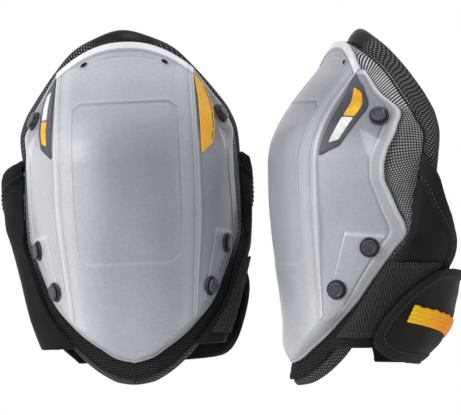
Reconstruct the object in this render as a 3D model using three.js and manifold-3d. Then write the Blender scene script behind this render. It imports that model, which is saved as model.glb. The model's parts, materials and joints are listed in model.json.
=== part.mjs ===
// A pair of hard-shell knee pads.
// Each pad has its own frame while it is built: x to the right as seen from the
// front, d (the depth) backwards from the front of the shell, z up from the
// bottom of the rim. Millimetres.
import * as THREE from 'three';
import { mergeVertices } from 'three/addons/utils/BufferGeometryUtils.js';
import Module from 'manifold-3d';

const wasm = await Module();
wasm.setup();

// ---------------------------------------------------------------- dimensions
const PAD_A_YAW = -2.5; // degrees about z
const PAD_A_ROLL = -2.5; // degrees about y, right side up
const PAD_A_X = -63.2;
const PAD_B_YAW = -74.5;
const PAD_B_X = 29.9;

const SHELL_T = 2.8; // wall of the hard shell
const GAP = 1.0; // shell to the layer below
const COVER_T = 3.2; // spacer mesh
const FOAM_BACK = 14; // depth of the foam's back below the shell's face
const GEL_T = 5.2;
const LINER_T = 2.4;
const COLLAR_T = 8;

const CAP_R = 5.2; // rivet head
const RING_R = 6.7; // raised washer under it
const RING_BORE_R = 3.3;
const POST_R = 2.7;
const POST_HOLE_R = 3.3;
const POST_LEN = 10.5;

const WING_T = 3.2;
const LOOP_T = 1.2;
const HOOK_T = 1.0;
const HOOK_IN = 5.7;
const FLAP_IN = 7.6; // inner face of strap and flap above the leg surface
const STRAP_T = 3;
const TAB_T = 1.6;
const PEEL_AT = 78.5; // where the flap folds, degrees round the leg
const STRAP_END = 131; // where the strap is sewn to the far wing
const STRAP_SEW = 4.7; // its inner face above the leg surface there

// Half-width of the middle face (the ridge line), by height
const RIDGE_X = [[10, 40.5], [39, 41.5], [51, 42.5], [81, 45], [103, 47], [127, 48], [150, 48], [182, 47], [210, 45.5], [235, 44]];
// Depth of the middle line, by height
const FACE_D = [[10, 11.5], [17, 10.6], [30, 10.2], [40, 10.1], [52, 8.9], [81, 4.9], [103, 2.2], [127, 0.4], [149, 0], [160, 1.4], [172, 6], [187, 15.4], [200, 25.7], [213, 36.5], [225, 43.6], [232, 46]];
// How far the ridge lies behind the middle line, by height
const FACE_SAG = [[10, 6], [39, 11], [81, 13], [127, 14], [160, 13.6], [187, 12], [210, 10.5], [232, 8]];

const BOTTOM_TIP = 21, BOTTOM_RISE = 25; // lower end of the middle face
const TOP_MID = 229, TOP_DROP = 19; // its upper end

// Free edge of the shell from the top corner (q = 0) to the bottom corner
// (q = 1) and on to the bottom middle (q = 2): q, x, d, z, bulge of the side
const EDGE = [
  [0, 46.5, 48, 209.5, 0.5],
  [0.061, 56, 54.7, 195.6, 0.8],
  [0.134, 65, 67, 182, 1.2],
  [0.18, 67.6, 64.2, 175, 1.6],
  [0.232, 70, 61.2, 168, 2.2],
  [0.30, 69.2, 56.2, 157, 2.8],
  [0.366, 69, 53.8, 146, 3],
  [0.427, 69, 54.2, 138, 3],
  [0.488, 69.3, 58, 129, 3],
  [0.561, 69.5, 63.5, 117, 3],
  [0.628, 69.5, 70, 103, 3],
  [0.695, 66.6, 62.4, 91.5, 3.1],
  [0.762, 63, 55.2, 80.4, 3.3],
  [0.82, 58.8, 48.2, 69.5, 3.4],
  [0.878, 54, 41.3, 57.8, 3.2],
  [0.94, 50.4, 37.2, 52, 2.6],
  [1, 45.5, 33, 46, 2.2],
  [1.1, 37, 26.8, 36.9, 1.8],
  [1.25, 30, 22.6, 31, 1.5],
  [1.4, 24, 19.4, 26.8, 1.3],
  [1.7, 11, 14.2, 18.8, 1],
  [2, 0, 11.8, 16, 0.8],
];

// Seam between side mesh and collar, and the collar's outer back edge, from the
// bottom middle to the top middle: q of the shell's edge beside it, seam, back
const RIM = [
  { q: 2, b: [0, 12, 5], c: [0, 16.5, 0] },
  { q: 1.7, b: [11, 14.5, 7], c: [11, 21, 1.6] },
  { q: 1.4, b: [22, 19.5, 12], c: [21, 27, 6.5] },
  { q: 1.1, b: [36, 28, 24], c: [36, 36, 18.5] },
  { q: 1, b: [48, 36, 38], c: [48, 44, 34] },
  { q: 0.878, b: [58, 45.5, 54], c: [58, 54, 50] },
  { q: 0.762, b: [66, 58, 77], c: [66, 67, 76] },
  { q: 0.628, b: [72.2, 73.6, 101.5], c: [72, 83, 101] },
  { q: 0.52, b: [72.5, 75.5, 124], c: [73.5, 88, 124] },
  { q: 0.4, b: [71.8, 80.2, 147], c: [73.6, 90.8, 145] },
  { q: 0.232, b: [70, 83, 166], c: [72.5, 92, 168] },
  { q: 0.134, b: [65, 78, 180], c: [68, 90.6, 181.6] },
  { q: 0.061, b: [54.5, 70, 196.3], c: [60, 86.6, 193.6] },
  { q: 0, b: [39.5, 62.6, 212], c: [46, 77, 211.5] },
  { q: -0.5, b: [20, 54.5, 223], c: [25, 63, 231] },
  { q: -1, b: [0, 49.5, 229], c: [0, 58, 239] },
];

// The surface of the leg that wings and strap lie on: an upright ellipse whose
// half-width, centre depth and half-depth change with height
const LEG_W = [[14, 52], [20, 54], [30, 58], [46, 63.5], [60, 67.5], [76, 71.5], [86, 74], [97, 76.8], [109, 79.8], [125, 80.8], [139, 80.8], [152, 78]];
const LEG_C = [[14, 39.5], [30, 42.5], [46, 47.5], [60, 54], [76, 63], [86, 71], [97, 79], [108, 82], [121, 84], [139, 85.5], [152, 86]];
const LEG_R = [[14, 46], [20, 52.5], [30, 59.8], [46, 62.7], [60, 58.5], [76, 53], [86, 50], [97, 42], [108, 38], [152, 37]];
// The wing's bound edge, from the top of its seam round the back to the bottom:
// [distance round the leg from the seam, height]
const WING_EDGE = [[1.5, 152], [5.5, 148.5], [10.5, 143], [14.5, 137], [17.8, 130], [22.5, 121], [31, 109], [40, 98], [48.5, 87], [55, 76], [59.5, 62], [61, 48], [58.5, 36], [54, 27]];
const BIND_W = 8;

// Outline of the flap: [degrees round the leg, height], outer and sewn lines
const FLAP_OUT = [[78, 16], [64, 16], [50, 16.5], [38, 17.3], [25, 19], [17, 21.8], [12.7, 24], [8.5, 27.5], [6.3, 33], [7, 42], [9, 49], [10.6, 54], [14, 61], [21, 70], [30, 76], [42, 77], [60, 76], [78, 76]];
const FLAP_SEW = [[78, 21], [64, 21], [50, 21.5], [38, 22.3], [26, 24], [19, 26.5], [15.5, 28.7], [12, 31.5], [10.6, 35.5], [11.3, 42], [13, 48], [14.7, 52.5], [18, 58.5], [24, 66], [31.5, 71], [42, 72], [60, 71], [78, 71]];

// Rivets of one side: nearest point of the shell, bottom to top
const RIVETS = [[51.7, 28.1, 64.3], [62.3, 47.6, 92.9], [61.1, 54.9, 179]];

// -------------------------------------------------------------------- maths
const lerp = (a, b, t) => a + (b - a) * t;
const V = (x, y, z) => new THREE.Vector3(x, y, z);

// monotone cubic through a table of [position, value]
function curve(table, t, k = 1) {
  const n = table.length;
  if (t <= table[0][0]) return table[0][k];
  if (t >= table[n - 1][0]) return table[n - 1][k];
  let i = 0;
  while (t > table[i + 1][0]) i++;
  const slope = (j) => (table[j + 1][k] - table[j][k]) / (table[j + 1][0] - table[j][0]);
  const tangent = (j) => {
    if (j === 0) return slope(0);
    if (j === n - 1) return slope(n - 2);
    const a = slope(j - 1), b = slope(j);
    return a * b <= 0 ? 0 : (2 * a * b) / (a + b);
  };
  const h = table[i + 1][0] - table[i][0], u = (t - table[i][0]) / h;
  const p0 = table[i][k], p1 = table[i + 1][k], m0 = tangent(i) * h, m1 = tangent(i + 1) * h;
  return (2 * u ** 3 - 3 * u ** 2 + 1) * p0 + (u ** 3 - 2 * u ** 2 + u) * m0 + (-2 * u ** 3 + 3 * u ** 2) * p1 + (u ** 3 - u ** 2) * m1;
}

// towards the middle of the knee
const inward = (p) => V(0, 110, 120 + (p.z - 120) * 0.6).sub(p).normalize();
const sunk = (p, m) => p.clone().addScaledVector(inward(p), m);

const faceBottom = (u) => BOTTOM_TIP + BOTTOM_RISE * Math.abs(u) ** 1.8;
const faceTop = (u) => TOP_MID - TOP_DROP * Math.abs(u) ** 2.2;
function face(u, v) {
  const z = lerp(faceBottom(u), faceTop(u), v);
  return V(u * curve(RIDGE_X, z), curve(FACE_D, z) + curve(FACE_SAG, z) * Math.abs(u) ** 3, z);
}
// side of the shell: q along it, s from the ridge (0) to the free edge (1)
function side(q, s, sign = 1) {
  const r = q <= 1 ? face(1, 1 - q) : face(2 - q, 0);
  const e = V(curve(EDGE, q, 1), curve(EDGE, q, 2), curve(EDGE, q, 3));
  const mid = r.clone().lerp(e, 0.5);
  const c = mid.addScaledVector(inward(mid), -2 * curve(EDGE, q, 4));
  const p = r.multiplyScalar((1 - s) ** 2).addScaledVector(c, 2 * s * (1 - s)).addScaledVector(e, s * s);
  p.x *= sign;
  return p;
}
function sideNormal(q, s) {
  const e = 0.004;
  const a = side(q + e, s).sub(side(q - e, s)), b = side(q, s + e).sub(side(q, s - e));
  const n = a.cross(b).normalize();
  return n.dot(inward(side(q, s))) > 0 ? n.negate() : n;
}

// ------------------------------------------------------------ closed solids
function solid(verts, tris) {
  let vol = 0;
  for (const [a, b, c] of tris) vol += verts[a].dot(verts[b].clone().cross(verts[c]));
  const g = new THREE.BufferGeometry();
  g.setAttribute('position', new THREE.BufferAttribute(new Float32Array(verts.flatMap((p) => [p.x, p.y, p.z])), 3));
  g.setIndex(tris.flatMap((t) => (vol < 0 ? [t[0], t[2], t[1]] : t)));
  return g;
}
// a sheet of triangles and the same sheet moved, joined along their borders
function thick(tris, front, back) {
  const n = front.length, count = new Map(), all = [];
  for (const t of tris) {
    all.push(t, [t[0] + n, t[2] + n, t[1] + n]);
    for (const [a, b] of [[t[0], t[1]], [t[1], t[2]], [t[2], t[0]]]) {
      const key = a < b ? `${a},${b}` : `${b},${a}`;
      count.set(key, count.has(key) ? null : [a, b]);
    }
  }
  for (const edge of count.values()) {
    if (!edge) continue;
    const [a, b] = edge;
    all.push([b, a, a + n], [b, a + n, b + n]);
  }
  return solid([...front, ...back], all);
}
function grid(cols, rows) {
  const tris = [];
  for (let i = 0; i < cols - 1; i++)
    for (let j = 0; j < rows - 1; j++) {
      const a = i * rows + j, b = a + rows;
      tris.push([a, b, b + 1], [a, b + 1, a + 1]);
    }
  return tris;
}
// a closed ring of equal sections
function ring(sections) {
  const n = sections.length, m = sections[0].length, tris = [];
  for (let i = 0; i < n; i++)
    for (let j = 0; j < m; j++) {
      const a = i * m + j, b = ((i + 1) % n) * m + j;
      const c = i * m + ((j + 1) % m), d = ((i + 1) % n) * m + ((j + 1) % m);
      tris.push([a, b, d], [a, d, c]);
    }
  return solid(sections.flat(), tris);
}
function toManifold(geometry) {
  const g = geometry.clone();
  g.deleteAttribute('normal');
  g.deleteAttribute('uv');
  const m = mergeVertices(g, 1e-4);
  return new wasm.Manifold(new wasm.Mesh({
    numProp: 3,
    vertProperties: new Float32Array(m.attributes.position.array),
    triVerts: new Uint32Array(m.index.array),
  }));
}
function fromManifold(man) {
  const m = man.getMesh();
  const g = new THREE.BufferGeometry();
  g.setAttribute('position', new THREE.BufferAttribute(new Float32Array(m.vertProperties), 3));
  g.setIndex(new THREE.BufferAttribute(new Uint32Array(m.triVerts), 1));
  return g;
}

// the shell's surface as a sheet: the middle face and its sides out to s = end
function shellSheet(us, qs, ss) {
  const verts = [], tris = [], at = new Map();
  const put = (key, p) => { at.set(key, verts.length); verts.push(p); };
  const vs = qs.filter((q) => q <= 1).map((q) => 1 - q).reverse();
  us.forEach((u, i) => vs.forEach((v, j) => put(`f${i},${j}`, face(u, v))));
  for (let i = 0; i < us.length - 1; i++)
    for (let j = 0; j < vs.length - 1; j++) {
      const a = at.get(`f${i},${j}`), b = at.get(`f${i + 1},${j}`);
      tris.push([a, b, b + 1], [a, b + 1, a + 1]);
    }
  // the border of the middle face: down the right, along the bottom, up the left
  const top = vs.length - 1, last = us.length - 1, border = [];
  for (let j = top; j >= 0; j--) border.push([`f${last},${j}`, 1 - vs[j], 1]);
  for (let i = last - 1; i >= 0; i--) border.push([`f${i},0`, 2 - Math.abs(us[i]), us[i] >= 0 ? 1 : -1]);
  for (let j = 1; j <= top; j++) border.push([`f0,${j}`, 1 - vs[j], -1]);
  border.forEach(([, q, sign], k) => ss.forEach((s, m) => put(`s${k},${m + 1}`, side(q, s, sign))));
  const node = (k, m) => (m === 0 ? at.get(border[k][0]) : at.get(`s${k},${m}`));
  for (let k = 0; k < border.length - 1; k++)
    for (let m = 0; m < ss.length; m++) {
      const a = node(k, m), b = node(k, m + 1), c = node(k + 1, m + 1), d = node(k + 1, m);
      tris.push([a, c, b], [a, d, c]);
    }
  const marks = verts.map((p) => ({ p }));
  for (const [key, i] of at) marks[i].s = key[0] === 'f' ? 0 : ss[+key.split(',')[1] - 1];
  for (const [key, i] of at)
    if (key[0] === 'f') {
      const [a, b] = key.slice(1).split(',').map(Number);
      marks[i].u = us[a];
      marks[i].v = vs[b];
    } else {
      marks[i].u = 1;
      marks[i].v = 0;
    }
  return { verts, tris, marks };
}

// ------------------------------------------------------------ leg surfaces
function rimAt(z, key) {
  const pts = RIM.slice(0, 11).map((r) => [r[key][2], r[key][0], r[key][1]]);
  return [curve(pts, z, 1), curve(pts, z, 2)];
}
// point on the leg surface at height z: t >= 0 in degrees round the ellipse,
// t in [-1, 0] along the blend from the side seam to the ellipse
function leg(t, z, off = 0, sign = 1) {
  const w = curve(LEG_W, z), c = curve(LEG_C, z), r = curve(LEG_R, z);
  const at = (t) => {
    if (t >= 0) {
      const a = (t * Math.PI) / 180;
      return [w * Math.cos(a), c + r * Math.sin(a)];
    }
    const [bx, bd] = rimAt(z, 'b');
    const p0 = [bx + 2.4, bd - 0.8], p3 = [w, c], k = Math.max(c - p0[1], 3);
    const p1 = [lerp(p0[0], w, 0.55), p0[1] + 0.12 * k], p2 = [w, c - 0.45 * k], s = t + 1;
    return [0, 1].map((i) => (1 - s) ** 3 * p0[i] + 3 * s * (1 - s) ** 2 * p1[i] + 3 * s * s * (1 - s) * p2[i] + s ** 3 * p3[i]);
  };
  const e = t >= 0 ? 0.5 : 0.01;
  const a = at(t), f = at(t >= 0 ? t + e : Math.min(t + e, -1e-6)), b = t >= 0 ? at(Math.max(t - e, 0)) : at(Math.max(t - e, -1));
  const tx = f[0] - b[0], td = f[1] - b[1], len = Math.hypot(tx, td) || 1;
  return V((a[0] + (td / len) * off) * sign, a[1] - (tx / len) * off, z);
}
// degrees (or blend) at a distance a round the leg from the seam
function legT(a, z) {
  let last = leg(-1, z), sum = 0, was = -1;
  for (let k = 1; k <= 34; k++) {
    const t = k <= 10 ? -1 + k / 10 : (k - 10) * 4;
    const p = leg(t, z), step = p.distanceTo(last);
    if (sum + step >= a) return lerp(was, t, (a - sum) / step);
    sum += step;
    last = p;
    was = t;
  }
  return was;
}
function legPatch(rows, cols, at, low, high, sign = 1) {
  const front = [], back = [];
  for (let i = 0; i < cols; i++)
    for (let j = 0; j < rows; j++) {
      const [t, z] = at(i / (cols - 1), j / (rows - 1));
      front.push(leg(t, z, high, sign));
      back.push(leg(t, z, low, sign));
    }
  return thick(grid(cols, rows), front, back);
}
// ---------------------------------------------------------------- materials
const mat = (color, roughness, metalness = 0, extra = {}) => new THREE.MeshStandardMaterial({ color, roughness, metalness, ...extra });
const MATS = {
  shell: mat(0xb4b7bf, 0.45, 0, { transparent: true, opacity: 0.8 }),
  rivet: mat(0x3c3e48, 0.4),
  plateDark: mat(0x4b4a50, 0.55),
  plateOrange: mat(0xffbe32, 0.5),
  mesh: mat(0x7d7d80, 0.95),
  twill: mat(0x2c2c2d, 0.95),
  neoprene: mat(0x161616, 0.9),
  binding: mat(0x2a2a2a, 0.95),
  loop: mat(0x303030, 1),
  hook: mat(0x181818, 0.8),
  webbing: mat(0xffa516, 0.8),
  foam: mat(0x3a3a3c, 1),
  gel: mat(0x5b83b8, 0.3),
  liner: mat(0x222224, 1),
};

// ---------------------------------------------------------------------- pad
function pad(prefix, darkSide) {
  const g = new THREE.Group();
  const add = (name, geometry, material) => {
    const mesh = new THREE.Mesh(geometry, material);
    mesh.name = `${prefix}_${name}`;
    g.add(mesh);
    return mesh;
  };

  // rivet places: the point of the side surface nearest to each wanted place
  const places = RIVETS.map(([x, d, z]) => {
    let best = null;
    for (let q = 0.05; q < 0.95; q += 0.004)
      for (let s = 0.1; s < 0.95; s += 0.01) {
        const dist = side(q, s).distanceTo(V(x, d, z));
        if (!best || dist < best.dist) best = { dist, q, s };
      }
    return best;
  });
  const rivets = [];
  for (const sign of [1, -1])
    for (const { q, s } of places) {
      const p = side(q, s, sign), n = sideNormal(q, s);
      n.x *= sign;
      rivets.push({ p, n });
    }
  const turned = (geometry, r, lift) => {
    geometry.rotateX(Math.PI / 2); // the lathe's axis onto z
    geometry.applyQuaternion(new THREE.Quaternion().setFromUnitVectors(V(0, 0, 1), r.n));
    const o = r.p.clone().addScaledVector(r.n, lift);
    return geometry.translate(o.x, o.y, o.z);
  };
  let holes = null;
  for (const r of rivets) {
    const c = toManifold(turned(new THREE.CylinderGeometry(POST_HOLE_R, POST_HOLE_R, 34, 8), r, -9));
    holes = holes ? holes.add(c) : c;
  }
  const drilled = (geometry) => fromManifold(toManifold(geometry).subtract(holes));

  // hard shell
  const US = [-1, -0.82, -0.62, -0.41, -0.2, 0, 0.2, 0.41, 0.62, 0.82, 1];
  const QS = EDGE.filter((e) => e[0] <= 1).map((e) => e[0]);
  const shell = shellSheet(US, QS, [0.25, 0.5, 0.75, 1]);
  add('shell', drilled(thick(shell.tris, shell.verts, shell.verts.map((p) => sunk(p, SHELL_T)))), MATS.shell);

  // printed plates, each on one side panel
  const plate = (sign) => {
    const cols = 9, rows = 4, front = [], back = [];
    for (let i = 0; i < cols; i++)
      for (let j = 0; j < rows; j++) {
        const a = i / (cols - 1), b = j / (rows - 1);
        const p = side(lerp(lerp(0.02, 0.375, a), lerp(0.105, 0.31, a), b), lerp(0.07, 0.52, b), sign);
        front.push(sunk(p, -1.0));
        back.push(sunk(p, -0.4));
      }
    return thick(grid(cols, rows), front, back);
  };
  add('label_dark', plate(darkSide), MATS.plateDark);
  add('label_orange', plate(-darkSide), MATS.plateOrange);

  // rivets: a raised washer and a headed post through its hole
  rivets.forEach((r, i) => {
    add(`rivet_ring_${i + 1}`, turned(new THREE.LatheGeometry([[RING_BORE_R, 0], [RING_R, 0], [RING_R - 0.3, 1.6], [RING_BORE_R, 1.6], [RING_BORE_R, 0]].map(([x, y]) => new THREE.Vector2(x, y)), 12), r, 0.5), MATS.rivet);
    add(`rivet_cap_${i + 1}`, turned(new THREE.LatheGeometry([[0, -POST_LEN], [POST_R, -POST_LEN], [POST_R, 0], [CAP_R, 0], [CAP_R - 0.3, 1.6], [0, 1.7]].map(([x, y]) => new THREE.Vector2(x, y)), 12), r, 2.5), MATS.rivet);
  });

  // side mesh, collar: rings round the pad
  const stations = [...RIM.map((r) => ({ r, sign: 1 })), ...RIM.slice(1, -1).reverse().map((r) => ({ r, sign: -1 }))];
  const edgeAt = (q, s) => (q >= 0 ? side(q, s) : face(1 + q, 1 - 0.06 * (1 - s) * 3));
  const coverSections = [], collarSections = [];
  for (const { r, sign } of stations) {
    const b = V(...r.b), c = V(...r.c);
    const m0 = SHELL_T + GAP, m1 = m0 + COVER_T;
    const t = c.clone().sub(b).normalize();
    const cover = [sunk(edgeAt(r.q, 0.72), m0), sunk(edgeAt(r.q, 1), m0), b.clone(), sunk(b, COVER_T), sunk(edgeAt(r.q, 1), m1), sunk(edgeAt(r.q, 0.72), m1)];
    const b2 = b.clone().addScaledVector(t, 0.45);
    const mid = b.clone().lerp(c, 0.5);
    const collar = [b2, sunk(mid, -1.2), c, sunk(c, COLLAR_T * 0.45).addScaledVector(t, 1.5), sunk(c, COLLAR_T), sunk(b2, COLLAR_T)];
    for (const p of [...cover, ...collar]) p.x *= sign;
    coverSections.push(cover);
    collarSections.push(collar);
  }
  add('mesh_cover', drilled(ring(coverSections)), MATS.mesh);
  add('collar', ring(collarSections), MATS.twill);

  // foam cup, gel insert, liner
  const US2 = [-1, -0.75, -0.5, -0.25, 0, 0.25, 0.5, 0.75, 1];
  // the foam stops short of the side mesh at the top
  const QS2 = [0.1, 0.232, 0.366, 0.488, 0.628, 0.762, 0.878, 1];
  const foam = shellSheet(US2, QS2, [0.3, 0.56, 0.67, 1]);
  const foamPts = foam.marks;
  const foamOuter = foamPts.map((m) => sunk(m.p, m.s > 0.6 ? SHELL_T + 2 * GAP + COVER_T : SHELL_T + GAP));
  const foamInner = foamPts.map((m) => sunk(m.p, FOAM_BACK));
  add('foam_core', drilled(thick(foam.tris, foamOuter, foamInner)), MATS.foam);

  const dome = (u, v) => Math.max(0, 1 - (Math.abs(u) / 0.92) ** 3) * Math.max(0, 1 - Math.abs((v - 0.52) / 0.4) ** 3);
  const gelFront = [], gelBack = [];
  for (let i = 0; i < 9; i++)
    for (let j = 0; j < 9; j++) {
      const u = lerp(-0.8, 0.8, i / 8), v = lerp(0.2, 0.84, j / 8), p = face(u, v);
      gelFront.push(sunk(p, FOAM_BACK + 2));
      gelBack.push(sunk(p, FOAM_BACK + 2.5 + (GEL_T - 0.5) * dome(u, v)));
    }
  add('gel_insert', thick(grid(9, 9), gelFront, gelBack), MATS.gel);

  const linerOf = (extra) => foamPts.map((m) => {
    const lift = m.s > 0 ? 0 : dome(m.u, m.v) * (GEL_T - 0.5);
    return sunk(m.p, FOAM_BACK + 4.6 + lift + extra);
  });
  add('inner_liner', thick(foam.tris, linerOf(0), linerOf(LINER_T)), MATS.liner);

  // wings with bound back edges
  const edge = WING_EDGE.map(([a, z]) => new THREE.Vector2(a, z)), ne = edge.length;
  const inset = (k, m) => {
    const dir = edge[Math.min(k + 1, ne - 1)].clone().sub(edge[Math.max(k - 1, 0)]).normalize();
    const p = new THREE.Vector2(edge[k].x + dir.y * m, edge[k].y - dir.x * m);
    return [Math.max(p.x, 0.4), k === ne - 1 ? edge[k].y : p.y];
  };
  // the wing starts below the place where its binding fills the whole width
  let k0 = 0;
  while (inset(k0, BIND_W + 0.35)[0] < 1.6) k0++;
  const [, zTop] = inset(k0, BIND_W + 0.35), zLow = edge[ne - 1].y;
  for (const [name, sign] of [['wing_near', 1], ['wing_far', -1]]) {
    const cols = 8, front = [], back = [], bf = [], bb = [];
    for (let k = 0; k < ne; k++) {
      const [ia, iz] = inset(k, BIND_W + 0.35);
      const sz = zLow + ((zTop - zLow) * (edge[k].y - zLow)) / (edge[k0].y - zLow);
      for (let i = 0; i < cols && k >= k0; i++) {
        const f = i / (cols - 1), a = lerp(0, ia, f), z = lerp(sz, iz, f);
        front.push(leg(legT(a, z), z, WING_T, sign));
        back.push(leg(legT(a, z), z, 0, sign));
      }
      for (let i = 0; i < 3; i++) {
        const [a, z] = inset(k, BIND_W * (1 - i / 2));
        bf.push(leg(legT(a, z), z, WING_T + 0.5, sign));
        bb.push(leg(legT(a, z), z, -0.5, sign));
      }
    }
    add(name, thick(grid(ne - k0, cols), front, back), MATS.neoprene);
    add(`${name}_binding`, thick(grid(ne, 3), bf, bb), MATS.binding);
  }
  add('loop_panel', legPatch(6, 9, (a, b) => [a < 0.3 ? lerp(-0.85, -0.05, a / 0.3) : lerp(0, 30, (a - 0.3) / 0.7), lerp(33, 82, b)], WING_T + 0.8, WING_T + 0.8 + LOOP_T), MATS.loop);

  // strap round the back, and its flap on the near side
  {
    const front = [], back = [], rows = 6, cols = 9;
    for (let i = 0; i < cols; i++)
      for (let j = 0; j < rows; j++) {
        const f = i / (cols - 1), t = lerp(PEEL_AT + 0.4, STRAP_END, f), z = lerp(17, 76, j / (rows - 1));
        const low = lerp(FLAP_IN, STRAP_SEW, f);
        front.push(leg(t, z, low + STRAP_T));
        back.push(leg(t, z, low));
      }
    add('strap', thick(grid(cols, rows), front, back), MATS.neoprene);
  }
  const n = FLAP_OUT.length;
  {
    const front = [], back = [];
    for (let k = 0; k < n; k++)
      for (const [t, z] of [FLAP_OUT[k], FLAP_SEW[k]]) {
        front.push(leg(t, z, FLAP_IN + STRAP_T + 0.4));
        back.push(leg(t, z, FLAP_IN - 0.2));
      }
    add('flap_binding', thick(grid(n, 2), front, back), MATS.binding);
  }
  {
    const front = [], back = [], rows = 6;
    for (let k = 0; k < n / 2; k++) {
      const a = FLAP_SEW[k], b = FLAP_SEW[n - 1 - k];
      for (let j = 0; j < rows; j++) {
        const f = j / (rows - 1), z = lerp(a[1] + 0.45, b[1] - 0.45, f), t = lerp(a[0], b[0], f) + (k === n / 2 - 1 ? 0.6 : 0.3) * (k > 3 ? 1 : 0);
        front.push(leg(t, z, FLAP_IN + STRAP_T));
        back.push(leg(t, z, FLAP_IN));
      }
    }
    add('strap_flap', thick(grid(n / 2, rows), front, back), MATS.neoprene);
  }
  add('hook_patch', legPatch(5, 6, (a, b) => [lerp(16, 44, a), lerp(lerp(32, 27, a), lerp(52, 62, Math.min(1, 2 * a)), b)], HOOK_IN, HOOK_IN + HOOK_T), MATS.hook);
  add('pull_tab', legPatch(3, 10, (a, b) => { const t = lerp(23, 76.6, a); return [t, 48 - (t - 23) * 0.2 + lerp(-5.2, 5.2, b)]; }, FLAP_IN + STRAP_T + 0.4, FLAP_IN + STRAP_T + 0.4 + TAB_T), MATS.webbing);
  return g;
}

// ------------------------------------------------------------------ the pair
const group = new THREE.Group();
group.name = 'knee_pads';
const rad = Math.PI / 180;

const a = new THREE.Group();
const padA = pad('right', -1);
padA.rotation.z = PAD_A_YAW * rad;
a.add(padA);
a.rotation.y = PAD_A_ROLL * rad;
a.position.set(PAD_A_X, 0, 0);
group.add(a);

const padB = pad('left', 1);
padB.rotation.z = PAD_B_YAW * rad;
padB.position.set(PAD_B_X, 0, 0);
group.add(padB);

// the origin is the middle of the box's bottom
group.updateMatrixWorld(true);
const box = new THREE.Box3();
group.traverse((o) => { if (o.isMesh) box.expandByObject(o, true); });
const middle = box.getCenter(V(0, 0, 0));
for (const child of [a, padB]) child.position.sub(V(middle.x, middle.y, box.min.z));
group.updateMatrixWorld(true);

export default group;
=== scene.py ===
import json
import math

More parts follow.
